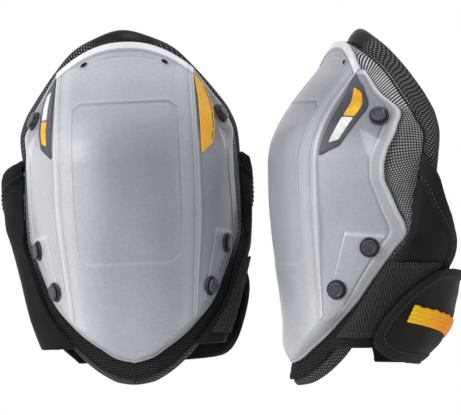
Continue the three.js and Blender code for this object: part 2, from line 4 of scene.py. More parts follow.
import bpy
import numpy as np
from mathutils import Vector
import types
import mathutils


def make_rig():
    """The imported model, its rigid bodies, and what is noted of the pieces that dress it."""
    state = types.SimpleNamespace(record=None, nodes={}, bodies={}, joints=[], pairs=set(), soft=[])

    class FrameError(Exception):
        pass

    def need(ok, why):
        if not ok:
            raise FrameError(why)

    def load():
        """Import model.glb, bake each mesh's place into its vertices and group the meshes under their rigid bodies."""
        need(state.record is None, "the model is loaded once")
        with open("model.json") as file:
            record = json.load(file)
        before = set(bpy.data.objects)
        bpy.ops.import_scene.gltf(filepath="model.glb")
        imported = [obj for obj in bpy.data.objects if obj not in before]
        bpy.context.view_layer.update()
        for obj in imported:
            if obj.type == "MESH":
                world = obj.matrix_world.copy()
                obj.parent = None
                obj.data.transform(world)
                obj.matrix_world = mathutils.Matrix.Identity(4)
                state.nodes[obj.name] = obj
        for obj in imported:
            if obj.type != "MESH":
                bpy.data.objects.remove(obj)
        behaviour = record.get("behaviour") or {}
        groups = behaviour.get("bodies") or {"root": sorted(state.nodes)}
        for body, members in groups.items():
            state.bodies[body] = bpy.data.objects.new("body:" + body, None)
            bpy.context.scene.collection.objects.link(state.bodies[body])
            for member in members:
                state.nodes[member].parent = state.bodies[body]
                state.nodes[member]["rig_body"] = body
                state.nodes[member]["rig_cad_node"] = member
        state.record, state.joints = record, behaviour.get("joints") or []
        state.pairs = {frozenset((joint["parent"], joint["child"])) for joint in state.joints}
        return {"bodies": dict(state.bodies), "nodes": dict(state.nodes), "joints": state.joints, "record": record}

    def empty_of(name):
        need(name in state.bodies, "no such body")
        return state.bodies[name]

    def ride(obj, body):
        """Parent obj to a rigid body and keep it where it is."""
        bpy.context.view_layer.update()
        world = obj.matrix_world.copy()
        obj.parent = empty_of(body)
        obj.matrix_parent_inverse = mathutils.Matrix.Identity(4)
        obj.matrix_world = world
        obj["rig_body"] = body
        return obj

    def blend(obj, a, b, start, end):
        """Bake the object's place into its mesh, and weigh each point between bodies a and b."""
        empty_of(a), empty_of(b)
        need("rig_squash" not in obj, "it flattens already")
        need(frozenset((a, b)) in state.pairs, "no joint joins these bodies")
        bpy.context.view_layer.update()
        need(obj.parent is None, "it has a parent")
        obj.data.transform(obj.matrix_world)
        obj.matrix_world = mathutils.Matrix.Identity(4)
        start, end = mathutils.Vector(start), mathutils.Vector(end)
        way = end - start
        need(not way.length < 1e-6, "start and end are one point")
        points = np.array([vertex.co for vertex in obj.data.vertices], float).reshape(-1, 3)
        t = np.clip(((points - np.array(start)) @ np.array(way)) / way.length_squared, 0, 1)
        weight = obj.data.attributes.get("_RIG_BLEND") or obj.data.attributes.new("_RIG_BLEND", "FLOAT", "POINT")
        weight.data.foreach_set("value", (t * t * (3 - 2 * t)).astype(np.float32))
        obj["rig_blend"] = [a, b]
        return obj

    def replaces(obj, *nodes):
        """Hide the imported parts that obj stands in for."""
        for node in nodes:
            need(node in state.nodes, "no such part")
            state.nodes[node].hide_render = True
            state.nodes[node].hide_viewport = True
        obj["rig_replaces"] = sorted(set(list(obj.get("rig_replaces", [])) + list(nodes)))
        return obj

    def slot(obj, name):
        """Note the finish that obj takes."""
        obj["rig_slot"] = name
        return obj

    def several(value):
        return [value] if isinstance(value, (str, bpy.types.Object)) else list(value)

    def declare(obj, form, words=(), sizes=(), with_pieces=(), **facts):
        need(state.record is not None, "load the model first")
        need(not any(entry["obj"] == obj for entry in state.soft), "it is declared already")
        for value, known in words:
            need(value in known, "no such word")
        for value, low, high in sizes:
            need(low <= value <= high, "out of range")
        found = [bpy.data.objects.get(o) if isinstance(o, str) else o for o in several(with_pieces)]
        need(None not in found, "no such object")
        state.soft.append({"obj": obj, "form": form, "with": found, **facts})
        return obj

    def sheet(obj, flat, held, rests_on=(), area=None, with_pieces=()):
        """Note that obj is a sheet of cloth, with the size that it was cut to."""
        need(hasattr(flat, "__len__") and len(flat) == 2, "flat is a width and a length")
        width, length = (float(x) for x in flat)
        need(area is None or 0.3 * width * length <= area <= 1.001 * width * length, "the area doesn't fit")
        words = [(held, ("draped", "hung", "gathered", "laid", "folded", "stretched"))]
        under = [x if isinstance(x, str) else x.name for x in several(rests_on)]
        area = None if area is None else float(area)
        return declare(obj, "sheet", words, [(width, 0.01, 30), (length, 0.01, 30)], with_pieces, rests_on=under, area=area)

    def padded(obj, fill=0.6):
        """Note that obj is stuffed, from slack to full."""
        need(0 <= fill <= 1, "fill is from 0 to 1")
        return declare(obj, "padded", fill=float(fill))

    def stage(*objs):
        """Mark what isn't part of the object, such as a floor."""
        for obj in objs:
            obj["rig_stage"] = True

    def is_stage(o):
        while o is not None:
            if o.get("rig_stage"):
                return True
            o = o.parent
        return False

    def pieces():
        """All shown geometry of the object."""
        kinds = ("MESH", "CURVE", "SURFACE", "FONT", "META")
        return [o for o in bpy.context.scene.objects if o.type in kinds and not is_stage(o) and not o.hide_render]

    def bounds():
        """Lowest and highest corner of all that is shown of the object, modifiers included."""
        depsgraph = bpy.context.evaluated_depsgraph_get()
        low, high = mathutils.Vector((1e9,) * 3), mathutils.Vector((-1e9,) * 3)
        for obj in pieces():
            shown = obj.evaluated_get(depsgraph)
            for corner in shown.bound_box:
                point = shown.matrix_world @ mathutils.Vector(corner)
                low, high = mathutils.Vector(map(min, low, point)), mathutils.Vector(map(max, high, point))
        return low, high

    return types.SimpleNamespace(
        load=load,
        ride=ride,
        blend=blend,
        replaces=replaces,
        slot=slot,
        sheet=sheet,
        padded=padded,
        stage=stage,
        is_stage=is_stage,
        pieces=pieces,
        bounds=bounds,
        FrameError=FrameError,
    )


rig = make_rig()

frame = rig.load()


def plain(b):
    return [[float(x) for x in c] for c in b]


CAD_BOX = plain(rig.bounds())

# ------------------------------------------------------------------ the shape
# Every length below is in millimetres, in a pad's own frame: x right, d back, z up.
SHELL_T, GAP, COVER_T, FOAM_BACK = 2.8, 1.0, 3.2, 14.0
GEL_T, LINER_T, COLLAR_T = 5.2, 2.4, 8.0
WING_T, LOOP_T, HOOK_IN, HOOK_T = 3.2, 1.2, 5.7, 1.0
FLAP_IN, STRAP_T, STRAP_SEW, STRAP_END, TAB_T = 7.6, 3.0, 4.7, 131.0, 1.6
BIND_W = 8.0

PADS = {
    "right": dict(yaw=-2.5, roll=-2.5, at=(-66.07313, -33.33036, 0.0), dark=-1),
    "left": dict(yaw=-74.5, roll=0.0, at=(27.02687, -33.33036, 0.0), dark=1),
}


def table(rows):
    a = np.array(rows, float)
    t, v = a[:, 0], a[:, 1:]
    s = np.diff(v, axis=0) / np.diff(t)[:, None]
    m = np.zeros_like(v)
    m[0], m[-1] = s[0], s[-1]
    p, q = s[:-1], s[1:]
    total = np.where(p * q > 0, p + q, 1.0)
    m[1:-1] = np.where(p * q > 0, 2 * p * q / total, 0)
    return t, v, m


def curve(tab, x, k=0):
    t, v, m = tab
    x = np.clip(np.asarray(x, float), t[0], t[-1])
    i = np.clip(np.searchsorted(t, x, side="right") - 1, 0, len(t) - 2)
    h = t[i + 1] - t[i]
    u = (x - t[i]) / h
    return (
        (2 * u**3 - 3 * u**2 + 1) * v[i, k]
        + (u**3 - 2 * u**2 + u) * m[i, k] * h
        + (-2 * u**3 + 3 * u**2) * v[i + 1, k]
        + (u**3 - u**2) * m[i + 1, k] * h
    )


RIDGE_X = table([[10, 40.5], [39, 41.5], [51, 42.5], [81, 45], [103, 47], [127, 48], [150, 48], [182, 47], [210, 45.5], [235, 44]])
FACE_D = table([[10, 11.5], [17, 10.6], [30, 10.2], [40, 10.1], [52, 8.9], [81, 4.9], [103, 2.2], [127, 0.4], [149, 0], [160, 1.4], [172, 6], [187, 15.4], [200, 25.7], [213, 36.5], [225, 43.6], [232, 46]])
FACE_SAG = table([[10, 6], [39, 11], [81, 13], [127, 14], [160, 13.6], [187, 12], [210, 10.5], [232, 8]])
EDGE = table([
    [0, 46.5, 48, 209.5, 0.5], [0.061, 56, 54.7, 195.6, 0.8], [0.134, 65, 67, 182, 1.2], [0.18, 67.6, 64.2, 175, 1.6],
    [0.232, 70, 61.2, 168, 2.2], [0.30, 69.2, 56.2, 157, 2.8], [0.366, 69, 53.8, 146, 3], [0.427, 69, 54.2, 138, 3],
    [0.488, 69.3, 58, 129, 3], [0.561, 69.5, 63.5, 117, 3], [0.628, 69.5, 70, 103, 3], [0.695, 66.6, 62.4, 91.5, 3.1],
    [0.762, 63, 55.2, 80.4, 3.3], [0.82, 58.8, 48.2, 69.5, 3.4], [0.878, 54, 41.3, 57.8, 3.2], [0.94, 50.4, 37.2, 52, 2.6],
    [1, 45.5, 33, 46, 2.2], [1.1, 37, 26.8, 36.9, 1.8], [1.25, 30, 22.6, 31, 1.5], [1.4, 24, 19.4, 26.8, 1.3],
    [1.7, 11, 14.2, 18.8, 1], [2, 0, 11.8, 16, 0.8]])
RIM = [
    (2, (0, 12, 5), (0, 16.5, 0)), (1.7, (11, 14.5, 7), (11, 21, 1.6)), (1.4, (22, 19.5, 12), (21, 27, 6.5)),
    (1.1, (36, 28, 24), (36, 36, 18.5)), (1, (48, 36, 38), (48, 44, 34)), (0.878, (58, 45.5, 54), (58, 54, 50)),
    (0.762, (66, 58, 77), (66, 67, 76)), (0.628, (72.2, 73.6, 101.5), (72, 83, 101)), (0.52, (72.5, 75.5, 124), (73.5, 88, 124)),
    (0.4, (71.8, 80.2, 147), (73.6, 90.8, 145)), (0.232, (70, 83, 166), (72.5, 92, 168)), (0.134, (65, 78, 180), (68, 90.6, 181.6)),
    (0.061, (54.5, 70, 196.3), (60, 86.6, 193.6)), (0, (39.5, 62.6, 212), (46, 77, 211.5)), (-0.5, (20, 54.5, 223), (25, 63, 231)),
    (-1, (0, 49.5, 229), (0, 58, 239))]
LEG_W = table([[14, 52], [20, 54], [30, 58], [46, 63.5], [60, 67.5], [76, 71.5], [86, 74], [97, 76.8], [109, 79.8], [125, 80.8], [139, 80.8], [152, 78]])
LEG_C = table([[14, 39.5], [30, 42.5], [46, 47.5], [60, 54], [76, 63], [86, 71], [97, 79], [108, 82], [121, 84], [139, 85.5], [152, 86]])
LEG_R = table([[14, 46], [20, 52.5], [30, 59.8], [46, 62.7], [60, 58.5], [76, 53], [86, 50], [97, 42], [108, 38], [152, 37]])
WING_EDGE = np.array([[1.5, 152], [5.5, 148.5], [10.5, 143], [14.5, 137], [17.8, 130], [22.5, 121], [31, 109], [40, 98], [48.5, 87], [55, 76], [59.5, 62], [61, 48], [58.5, 36], [54, 27]], float)
FLAP_OUT = np.array([[78, 16], [64, 16], [50, 16.5], [38, 17.3], [25, 19], [17, 21.8], [12.7, 24], [8.5, 27.5], [6.3, 33], [7, 42], [9, 49], [10.6, 54], [14, 61], [21, 70], [30, 76], [42, 77], [60, 76], [78, 76]], float)
FLAP_SEW = np.array([[78, 21], [64, 21], [50, 21.5], [38, 22.3], [26, 24], [19, 26.5], [15.5, 28.7], [12, 31.5], [10.6, 35.5], [11.3, 42], [13, 48], [14.7, 52.5], [18, 58.5], [24, 66], [31.5, 71], [42, 72], [60, 71], [78, 71]], float)
RIVETS = [(51.7, 28.1, 64.3), (62.3, 47.6, 92.9), (61.1, 54.9, 179)]


def lerp(a, b, t):
    return a + (b - a) * t


def unit(v):
    return v / np.maximum(np.linalg.norm(v, axis=-1, keepdims=True), 1e-9)


def smooth(a, b, x):
    t = np.clip((np.asarray(x, float) - a) / (b - a), 0, 1)
    return t * t * (3 - 2 * t)


def inward(p):
    z = p[..., 2]
    c = np.stack([0 * z, 0 * z + 110, 120 + (z - 120) * 0.6], -1)
    return unit(c - p)


def sunk(p, m):
    return p + inward(p) * (np.asarray(m, float)[..., None] if np.ndim(m) else m)


def face(u, v):
    u, v = np.broadcast_arrays(np.asarray(u, float), np.asarray(v, float))
    lo, hi = 21 + 25 * np.abs(u) ** 1.8, 229 - 19 * np.abs(u) ** 2.2
    z = lerp(lo, hi, v)
    return np.stack([u * curve(RIDGE_X, z), curve(FACE_D, z) + curve(FACE_SAG, z) * np.abs(u) ** 3, z], -1)


def side(q, s, sign=1):
    q, s = np.broadcast_arrays(np.asarray(q, float), np.asarray(s, float))
    r = np.where((q <= 1)[..., None], face(1, 1 - np.minimum(q, 1)), face(2 - np.maximum(q, 1), 0))
    e = np.stack([curve(EDGE, q, k) for k in range(3)], -1)
    mid = (r + e) / 2
    c = mid - 2 * curve(EDGE, q, 3)[..., None] * inward(mid)
    s = s[..., None]
    p = r * (1 - s) ** 2 + c * 2 * s * (1 - s) + e * s * s
    p[..., 0] *= sign
    return p


def side_normal(q, s):
    e = 0.004
    n = unit(np.cross(side(q + e, s) - side(q - e, s), side(q, s + e) - side(q, s - e)))
    return -n if float((n * inward(side(q, s))).sum()) > 0 else n


RIM_B = table([[b[2], b[0], b[1]] for _, b, _ in RIM[:11]])


def leg_at(t, z):
    w, c, r = curve(LEG_W, z), curve(LEG_C, z), curve(LEG_R, z)
    a = np.radians(np.maximum(t, 0))
    ex, ed = w * np.cos(a), c + r * np.sin(a)
    p0x, p0d = curve(RIM_B, z, 0) + 2.4, curve(RIM_B, z, 1) - 0.8
    k = np.maximum(c - p0d, 3)
    p1x, p1d, p2x, p2d = lerp(p0x, w, 0.55), p0d + 0.12 * k, w, c - 0.45 * k
    s = np.clip(t + 1, 0, 1)
    b = lambda a0, a1, a2, a3: (1 - s) ** 3 * a0 + 3 * s * (1 - s) ** 2 * a1 + 3 * s * s * (1 - s) * a2 + s**3 * a3
    return np.where(t >= 0, ex, b(p0x, p1x, p2x, w)), np.where(t >= 0, ed, b(p0d, p1d, p2d, c))


def leg(t, z, off=0.0, sign=1):
    t, z, off = np.broadcast_arrays(np.asarray(t, float), np.asarray(z, float), np.asarray(off, float))
    x, d = leg_at(t, z)
    f = leg_at(np.where(t >= 0, t + 0.5, np.minimum(t + 0.01, -1e-6)), z)
    b = leg_at(np.where(t >= 0, np.maximum(t - 0.5, 0), np.maximum(t - 0.01, -1)), z)
    tx, td = f[0] - b[0], f[1] - b[1]
    n = np.maximum(np.hypot(tx, td), 1e-9)
    return np.stack([(x + td / n * off) * sign, d - tx / n * off, z], -1)


T_NODES = np.concatenate([-1 + np.arange(0, 11) / 10, np.arange(1, 25) * 4.0])


def leg_t(a, z):
    """Place round the leg at a distance a from the side seam."""
    a, z = np.broadcast_arrays(np.asarray(a, float), np.asarray(z, float))
    p = leg(T_NODES, z[..., None] + 0 * T_NODES)
    run = np.concatenate([np.zeros(p.shape[:-2] + (1,)), np.cumsum(np.linalg.norm(np.diff(p, axis=-2), axis=-1), -1)], -1)
    out = np.empty(a.shape)
    for i in np.ndindex(a.shape):
        out[i] = np.interp(a[i], run[i], T_NODES)
    return out


# ------------------------------------------------------------------- meshes
def grid_faces(n, m, closed_n=False, closed_m=False):
    """Quads of an n by m grid of points."""
    i = np.arange(n if closed_n else n - 1)
    j = np.arange(m if closed_m else m - 1)
    i, j = np.meshgrid(i, j, indexing="ij")
    i2, j2 = (i + 1) % n, (j + 1) % m
    return np.stack([i * m + j, i2 * m + j, i2 * m + j2, i * m + j2], -1).reshape(-1, 4)


def slab(P, Q, faces, bulge=1.0, steps=5):
    """Two sheets P (outer) and Q (inner) with a rounded rim between their borders."""
    P, Q = P.reshape(-1, 3), Q.reshape(-1, 3)
    n = len(P)
    directed = {}
    for f in faces:
        k = len(f)
        for i in range(k):
            directed[(int(f[i]), int(f[(i + 1) % k]))] = f
    border = [(a, b, f) for (a, b), f in directed.items() if (b, a) not in directed]
    if not border:
        return np.concatenate([P, Q]), [list(f) for f in faces] + [[x + n for x in f][::-1] for f in faces], np.arange(2 * n) % n
    centre, count, along = {}, {}, {}
    for a, b, f in border:
        c = P[list(f)].mean(0)
        for v in (a, b):
            centre[v] = centre.get(v, 0) + c
            count[v] = count.get(v, 0) + 1
            along[v] = along.get(v, 0) + (P[b] - P[a])
    rows, index = [], {}
    ids = sorted(centre)
    for v in ids:
        out = P[v] - centre[v] / count[v]
        t = unit(along[v])
        s = unit(Q[v] - P[v])
        out = out - t * out.dot(t)
        out = unit(out - s * out.dot(s))
        half = (P[v] - Q[v]) / 2
        r = np.linalg.norm(half) * bulge
        mid = (P[v] + Q[v]) / 2
        index[v] = len(rows) * (steps - 1)
        rows.append([mid + half * math.cos(math.pi * k / steps) + out * r * math.sin(math.pi * k / steps) for k in range(1, steps)])
    verts = np.concatenate([P, Q, np.array(rows).reshape(-1, 3)])
    own = np.concatenate([np.arange(n), np.arange(n), np.repeat(np.array(ids), steps - 1)])
    all_faces = [list(map(int, f)) for f in faces] + [[int(x) + n for x in f][::-1] for f in faces]
    at = lambda v, k: v if k == 0 else (v + n if k == steps else 2 * n + index[v] + k - 1)
    for a, b, _ in border:
        for k in range(steps):
            all_faces.append([at(b, k), at(a, k), at(a, k + 1), at(b, k + 1)])
    return verts, all_faces, own


class Pad:
    def __init__(self, name):
        p = PADS[name]
        y, r = math.radians(p["yaw"]), math.radians(p["roll"])
        rz = np.array([[math.cos(y), -math.sin(y), 0], [math.sin(y), math.cos(y), 0], [0, 0, 1]])
        ry = np.array([[math.cos(r), 0, math.sin(r)], [0, 1, 0], [-math.sin(r), 0, math.cos(r)]])
        self.name, self.m, self.at, self.dark = name, ry @ rz, np.array(p["at"]), p["dark"]

    def world(self, p):
        return (np.asarray(p, float).reshape(-1, 3) @ self.m.T + self.at) / 1000

    def make(self, name, verts, faces, material, body="root", uv=None, tint=None, wrap=None, replaces=(), slot=None, flat=False):
        me = bpy.data.meshes.new(f"{self.name}_{name}")
        w = self.world(verts)
        faces = [list(map(int, f)) for f in faces]
        # outward winding
        vol = 0.0
        tri = np.array([[f[0], f[i], f[i + 1]] for f in faces for i in range(1, len(f) - 1)])
        vol = np.einsum("ij,ij->i", w[tri[:, 0]] - w.mean(0), np.cross(w[tri[:, 1]] - w.mean(0), w[tri[:, 2]] - w.mean(0))).sum()
        if vol < 0:
            faces = [f[::-1] for f in faces]
        me.from_pydata(w.tolist(), [], faces)
        me.update()
        me.polygons.foreach_set("use_smooth", [not flat] * len(me.polygons))
        if uv is not None:
            loops = np.empty(len(me.loops), int)
            me.loops.foreach_get("vertex_index", loops)
            co = np.asarray(uv, float)[loops].copy()
            if wrap:
                start = np.empty(len(me.polygons), int)
                me.polygons.foreach_get("loop_start", start)
                ends = np.append(start[1:], len(loops))
                for k in range(2):
                    if not wrap[k]:
                        continue
                    top = np.maximum.reduceat(co[:, k], start)
                    top = np.repeat(top, ends - start)
                    co[:, k] = np.where(top - co[:, k] > wrap[k] / 2, co[:, k] + wrap[k], co[:, k])
            layer = me.uv_layers.new(name="UVMap")
            layer.data.foreach_set("uv", (co / 10.0).ravel())
        if tint is not None:
            a = me.attributes.new("tint", "FLOAT", "POINT")
            a.data.foreach_set("value", np.asarray(tint, np.float32).ravel())
        o = bpy.data.objects.new(f"{self.name}_{name}", me)
        bpy.context.scene.collection.objects.link(o)
        me.materials.append(material)
        if body:
            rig.ride(o, body if body == "root" else f"{self.name}_{body}")
        if replaces:
            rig.replaces(o, *[f"{self.name}_{x}" for x in replaces])
        if slot:
            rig.slot(o, slot)
        return o


def area_of(o):
    me = o.data
    a = np.empty(len(me.polygons))
    me.polygons.foreach_get("area", a)
    return float(a.sum())


def cloth(o, held, rests_on=(), with_pieces=()):
    """Declare a closed thin cloth piece by half its surface."""
    a = area_of(o) / 2
    co = np.array([v.co for v in o.data.vertices])
    long = float(np.linalg.norm(co.max(0) - co.min(0)))
    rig.sheet(o, flat=(max(a / long, 0.0101), long), held=held, rests_on=list(rests_on), with_pieces=list(with_pieces))


# ---------------------------------------------------------------- materials
def srgb(r, g, b):
    return tuple(((x / 255 + 0.055) / 1.055) ** 2.4 if x > 10 else x / 255 / 12.92 for x in (r, g, b)) + (1.0,)


class Mat:
    def __init__(self, name, rough=0.8, spec=0.3, **sockets):
        self.m = bpy.data.materials.new(name)
        self.m.use_nodes = True
        self.t = self.m.node_tree
        self.b = self.t.nodes["Principled BSDF"]
        self.b.inputs["Roughness"].default_value = rough
        self.b.inputs["Specular IOR Level"].default_value = spec
        for k, v in sockets.items():
            self.b.inputs[k.replace("_", " ")].default_value = v
        self._uv = None

    def node(self, kind, **props):
        n = self.t.nodes.new(kind)
        for k, v in props.items():
            setattr(n, k, v)
        return n

    def put(self, socket, value):
        if isinstance(value, bpy.types.NodeSocket):
            self.t.links.new(value, socket)
        elif value is not None:
            socket.default_value = value

    def math(self, op, a, b=None, c=None, clamp=False):
        n = self.node("ShaderNodeMath", operation=op, use_clamp=clamp)
        for s, v in zip(n.inputs, (a, b, c)):
            self.put(s, v)
        return n.outputs[0]

    def uv(self):
        """UV in millimetres as two sockets."""
        if self._uv is None:
            n = self.node("ShaderNodeUVMap", uv_map="UVMap")
            s = self.node("ShaderNodeSeparateXYZ")
            self.t.links.new(n.outputs[0], s.inputs[0])
            self._uv = self.math("MULTIPLY", s.outputs[0], 10.0), self.math("MULTIPLY", s.outputs[1], 10.0)
        return self._uv

    def uvec(self):
        n = self.node("ShaderNodeUVMap", uv_map="UVMap")
        return n.outputs[0]

    def wave(self, x, period, phase=0.0):
        """0 to 1 sine along x."""
        a = self.math("MULTIPLY_ADD", x, 2 * math.pi / period, phase)
        return self.math("MULTIPLY_ADD", self.math("SINE", a), 0.5, 0.5)

    def line(self, ax, ay):
        u, v = self.uv()
        return self.math("ADD", self.math("MULTIPLY", u, ax), self.math("MULTIPLY", v, ay))

    def tint(self):
        return self.node("ShaderNodeAttribute", attribute_type="GEOMETRY", attribute_name="tint").outputs["Fac"]

    def noise(self, scale, detail=3.0, rough=0.55, obj=True):
        n = self.node("ShaderNodeTexNoise")
        n.inputs["Scale"].default_value = scale
        n.inputs["Detail"].default_value = detail
        n.inputs["Roughness"].default_value = rough
        if obj:
            c = self.node("ShaderNodeTexCoord")
            self.t.links.new(c.outputs["Object"], n.inputs["Vector"])
        else:
            self.t.links.new(self.uvec(), n.inputs["Vector"])
        return n.outputs["Fac"]

    def range(self, x, a, b, c=0.0, d=1.0, smoothed=False):
        n = self.node("ShaderNodeMapRange", clamp=True)
        if smoothed:
            n.interpolation_type = "SMOOTHSTEP"
        for s, v in zip(n.inputs[:5], (x, a, b, c, d)):
            self.put(s, v)
        return n.outputs[0]

    def mix(self, f, a, b, kind="MIX"):
        n = self.node("ShaderNodeMix", data_type="RGBA", blend_type=kind)
        self.put(n.inputs[0], f)
        self.put(n.inputs[6], a)
        self.put(n.inputs[7], b)
        return n.outputs[2]

    def shade(self, color, by):
        """color times a grey value."""
        n = self.node("ShaderNodeCombineColor")
        for s in n.inputs:
            self.put(s, by)
        return self.mix(1.0, color, n.outputs[0], "MULTIPLY")

    def color(self, c):
        self.put(self.b.inputs["Base Color"], c)
        return self

    def rough(self, r):
        self.put(self.b.inputs["Roughness"], r)
        return self

    def bump(self, h, mm, strength=1.0):
        n = self.node("ShaderNodeBump")
        n.inputs["Strength"].default_value = strength
        n.inputs["Distance"].default_value = mm / 1000
        self.put(n.inputs["Height"], h)
        self.t.links.new(n.outputs[0], self.b.inputs["Normal"])
        return self


def make_materials():
    M = {}
    # frosted hard shell
    m = Mat("shell_frosted", 0.34, 0.45, Subsurface_Weight=0.10, Subsurface_Scale=0.004, Coat_Weight=0.18, Coat_Roughness=0.22)
    m.b.inputs["Subsurface Radius"].default_value = (1.0, 1.0, 1.1)
    t = m.tint()
    cloud = m.noise(22, 2)
    # the tint attribute carries painted light and shade: dark grey where shade is painted, near white on the painted
    # highlights of edges and ridges
    c = m.mix(m.range(t, 0.5, 1.0), srgb(98, 101, 109), srgb(160, 163, 172))
    c = m.mix(m.range(t, 1.0, 2.0), c, srgb(234, 235, 238))
    c = m.shade(c, m.range(cloud, 0.3, 0.7, 0.94, 1.04))
    c = m.shade(c, m.range(m.noise(420, 4, 0.7), 0.3, 0.7, 0.93, 1.06))
    fine = m.noise(900, 2)
    m.color(c).rough(m.range(cloud, 0.3, 0.7, 0.33, 0.46)).bump(fine, 0.03, 0.5)
    M["shell"] = m.m

    m = Mat("label_dark_satin", 0.42, 0.4)
    n = m.noise(60, 3)
    m.color(m.mix(m.range(n, 0.3, 0.7), srgb(62, 60, 68), srgb(84, 82, 90))).rough(m.range(n, 0.3, 0.7, 0.36, 0.5)).bump(m.noise(1200, 2), 0.02, 0.5)
    M["label_dark"] = m.m
    m = Mat("label_orange_satin", 0.42, 0.4)
    n = m.noise(40, 3)
    m.color(m.mix(m.range(n, 0.3, 0.7), srgb(252, 176, 34), srgb(255, 196, 66))).rough(m.range(n, 0.3, 0.7, 0.38, 0.5)).bump(m.noise(1200, 2), 0.02, 0.5)
    M["label_orange"] = m.m
    for key, lo, hi in (("ink_white", (214, 214, 212), (240, 240, 238)), ("ink_yellow", (214, 158, 32), (246, 190, 52)), ("ink_black", (22, 20, 20), (40, 38, 38))):
        m = Mat(key, 0.5, 0.3)
        m.color(m.mix(m.range(m.noise(160, 3), 0.35, 0.65), srgb(*lo), srgb(*hi))).bump(m.noise(1500, 2), 0.02, 0.4)
        M[key] = m.m

    m = Mat("rivet_moulded", 0.3, 0.5)
    n = m.noise(260, 4)
    m.color(m.mix(m.range(n, 0.3, 0.7), srgb(50, 51, 60), srgb(72, 73, 84))).rough(m.range(n, 0.3, 0.7, 0.28, 0.46)).bump(m.noise(1400, 2), 0.02, 0.5)
    M["rivet"] = m.m
    m = Mat("washer_moulded", 0.42, 0.5)
    n = m.noise(260, 4)
    m.color(m.mix(m.range(n, 0.3, 0.7), srgb(26, 27, 34), srgb(44, 45, 54))).rough(m.range(n, 0.3, 0.7, 0.34, 0.5)).bump(m.noise(1400, 2), 0.02, 0.5)
    M["washer"] = m.m
    m = Mat("slot_shadow", 0.6, 0.2)
    m.color(m.mix(m.noise(500, 2), srgb(8, 8, 9), srgb(20, 20, 22))).bump(m.noise(900, 2), 0.03, 0.5)
    M["slot"] = m.m

    # spacer mesh: ribs near the top of the pad, open hexagonal cells lower down
    m = Mat("spacer_mesh", 0.85, 0.2)
    u, v = m.uv()
    zone = m.tint()
    rib = m.wave(m.line(-0.84, 0.55), 2.0)
    rib = m.math("MULTIPLY", m.range(rib, 0.2, 0.85, 0, 1, True), m.range(m.wave(m.line(0.55, 0.84), 1.3), 0.0, 0.5, 0.72, 1.0))
    k = 2 * math.pi / 1.62
    ca = m.math("COSINE", m.math("MULTIPLY", u, k))
    cb = m.math("COSINE", m.math("MULTIPLY", m.line(-0.5, 0.866), k))
    cc = m.math("COSINE", m.math("MULTIPLY", m.line(-0.5, -0.866), k))
    hexes = m.math("ADD", m.math("ADD", ca, cb), cc)  # -1.5 in the holes, 3 on the knots
    hexes = m.range(hexes, -1.2, 1.4, 0, 1, True)
    z = m.range(zone, 0.25, 0.75, 0, 1, True)
    h = m.math("ADD", m.math("MULTIPLY", rib, m.math("SUBTRACT", 1.0, z)), m.math("MULTIPLY", hexes, z))
    base = m.mix(z, srgb(52, 52, 54), srgb(34, 34, 36))
    light = m.mix(z, srgb(226, 227, 230), srgb(176, 177, 180))
    # the lowest part is much darker
    deep = m.range(zone, 1.0, 2.0, 0, 1, True)
    base = m.mix(deep, base, srgb(9, 9, 10))
    light = m.mix(deep, light, srgb(60, 60, 62))
    c = m.mix(h, base, light)
    c = m.shade(c, m.range(m.noise(70, 3), 0.3, 0.7, 0.82, 1.08))
    m.color(c).bump(h, 0.55, 1.0)
    M["mesh"] = m.m

    # coarse twill with raised diagonal dots
    m = Mat("collar_twill", 0.82, 0.2, Sheen_Weight=0.03, Sheen_Roughness=0.5)
    d1 = m.wave(m.line(-0.78, 0.62), 1.35)
    d2 = m.wave(m.line(0.55, 0.84), 1.9)
    h = m.math("MULTIPLY", m.range(d1, 0.35, 0.95, 0, 1, True), m.range(d2, 0.15, 0.7, 0.12, 1, True))
    shine = m.tint()
    c = m.mix(h, srgb(8, 8, 9), srgb(142, 142, 145))
    c = m.mix(shine, c, srgb(17, 17, 18))
    c = m.shade(c, m.range(m.noise(45, 3), 0.3, 0.7, 0.8, 1.1))
    hh = m.math("MULTIPLY", h, m.math("SUBTRACT", 1.0, m.math("MULTIPLY", shine, 0.85)))
    m.color(c).bump(hh, 0.32, 1.0).rough(m.range(shine, 0, 1, 0.85, 0.34))
    M["twill"] = m.m

    # knit-faced neoprene
    def neoprene(name, lo, hi):
        m = Mat(name, 0.7, 0.2, Sheen_Weight=0.05, Sheen_Roughness=0.45)
        a = m.wave(m.line(1, 0), 0.9)
        b = m.wave(m.line(0, 1), 0.7)
        n = m.noise(34, 4)
        h = m.math("MULTIPLY", a, b)
        c = m.mix(m.range(n, 0.3, 0.7, 0, 1, True), srgb(*lo), srgb(*hi))
        c = m.shade(c, m.range(h, 0, 1, 0.8, 1.15))
        hh = m.math("ADD", m.math("MULTIPLY", h, 0.25), m.noise(26, 3))
        m.color(c).rough(m.range(n, 0.3, 0.7, 0.62, 0.8)).bump(hh, 0.5, 0.7)
        return m.m

    M["neoprene"] = neoprene("neoprene_knit", (12, 12, 13), (30, 30, 32))
    M["flap"] = neoprene("neoprene_flap", (14, 11, 10), (30, 26, 24))

    m = Mat("woven_binding", 0.8, 0.2, Sheen_Weight=0.04, Sheen_Roughness=0.5)
    u, v = m.uv()
    rib = m.wave(u, 0.95)
    edge = m.wave(v, 1.3)
    h = m.math("MULTIPLY", rib, m.range(edge, 0, 1, 0.6, 1))
    c = m.mix(h, srgb(10, 10, 10), srgb(44, 43, 43))
    c = m.shade(c, m.range(m.noise(80, 3), 0.3, 0.7, 0.8, 1.1))
    m.color(c).bump(h, 0.22, 1.0)
    M["binding"] = m.m

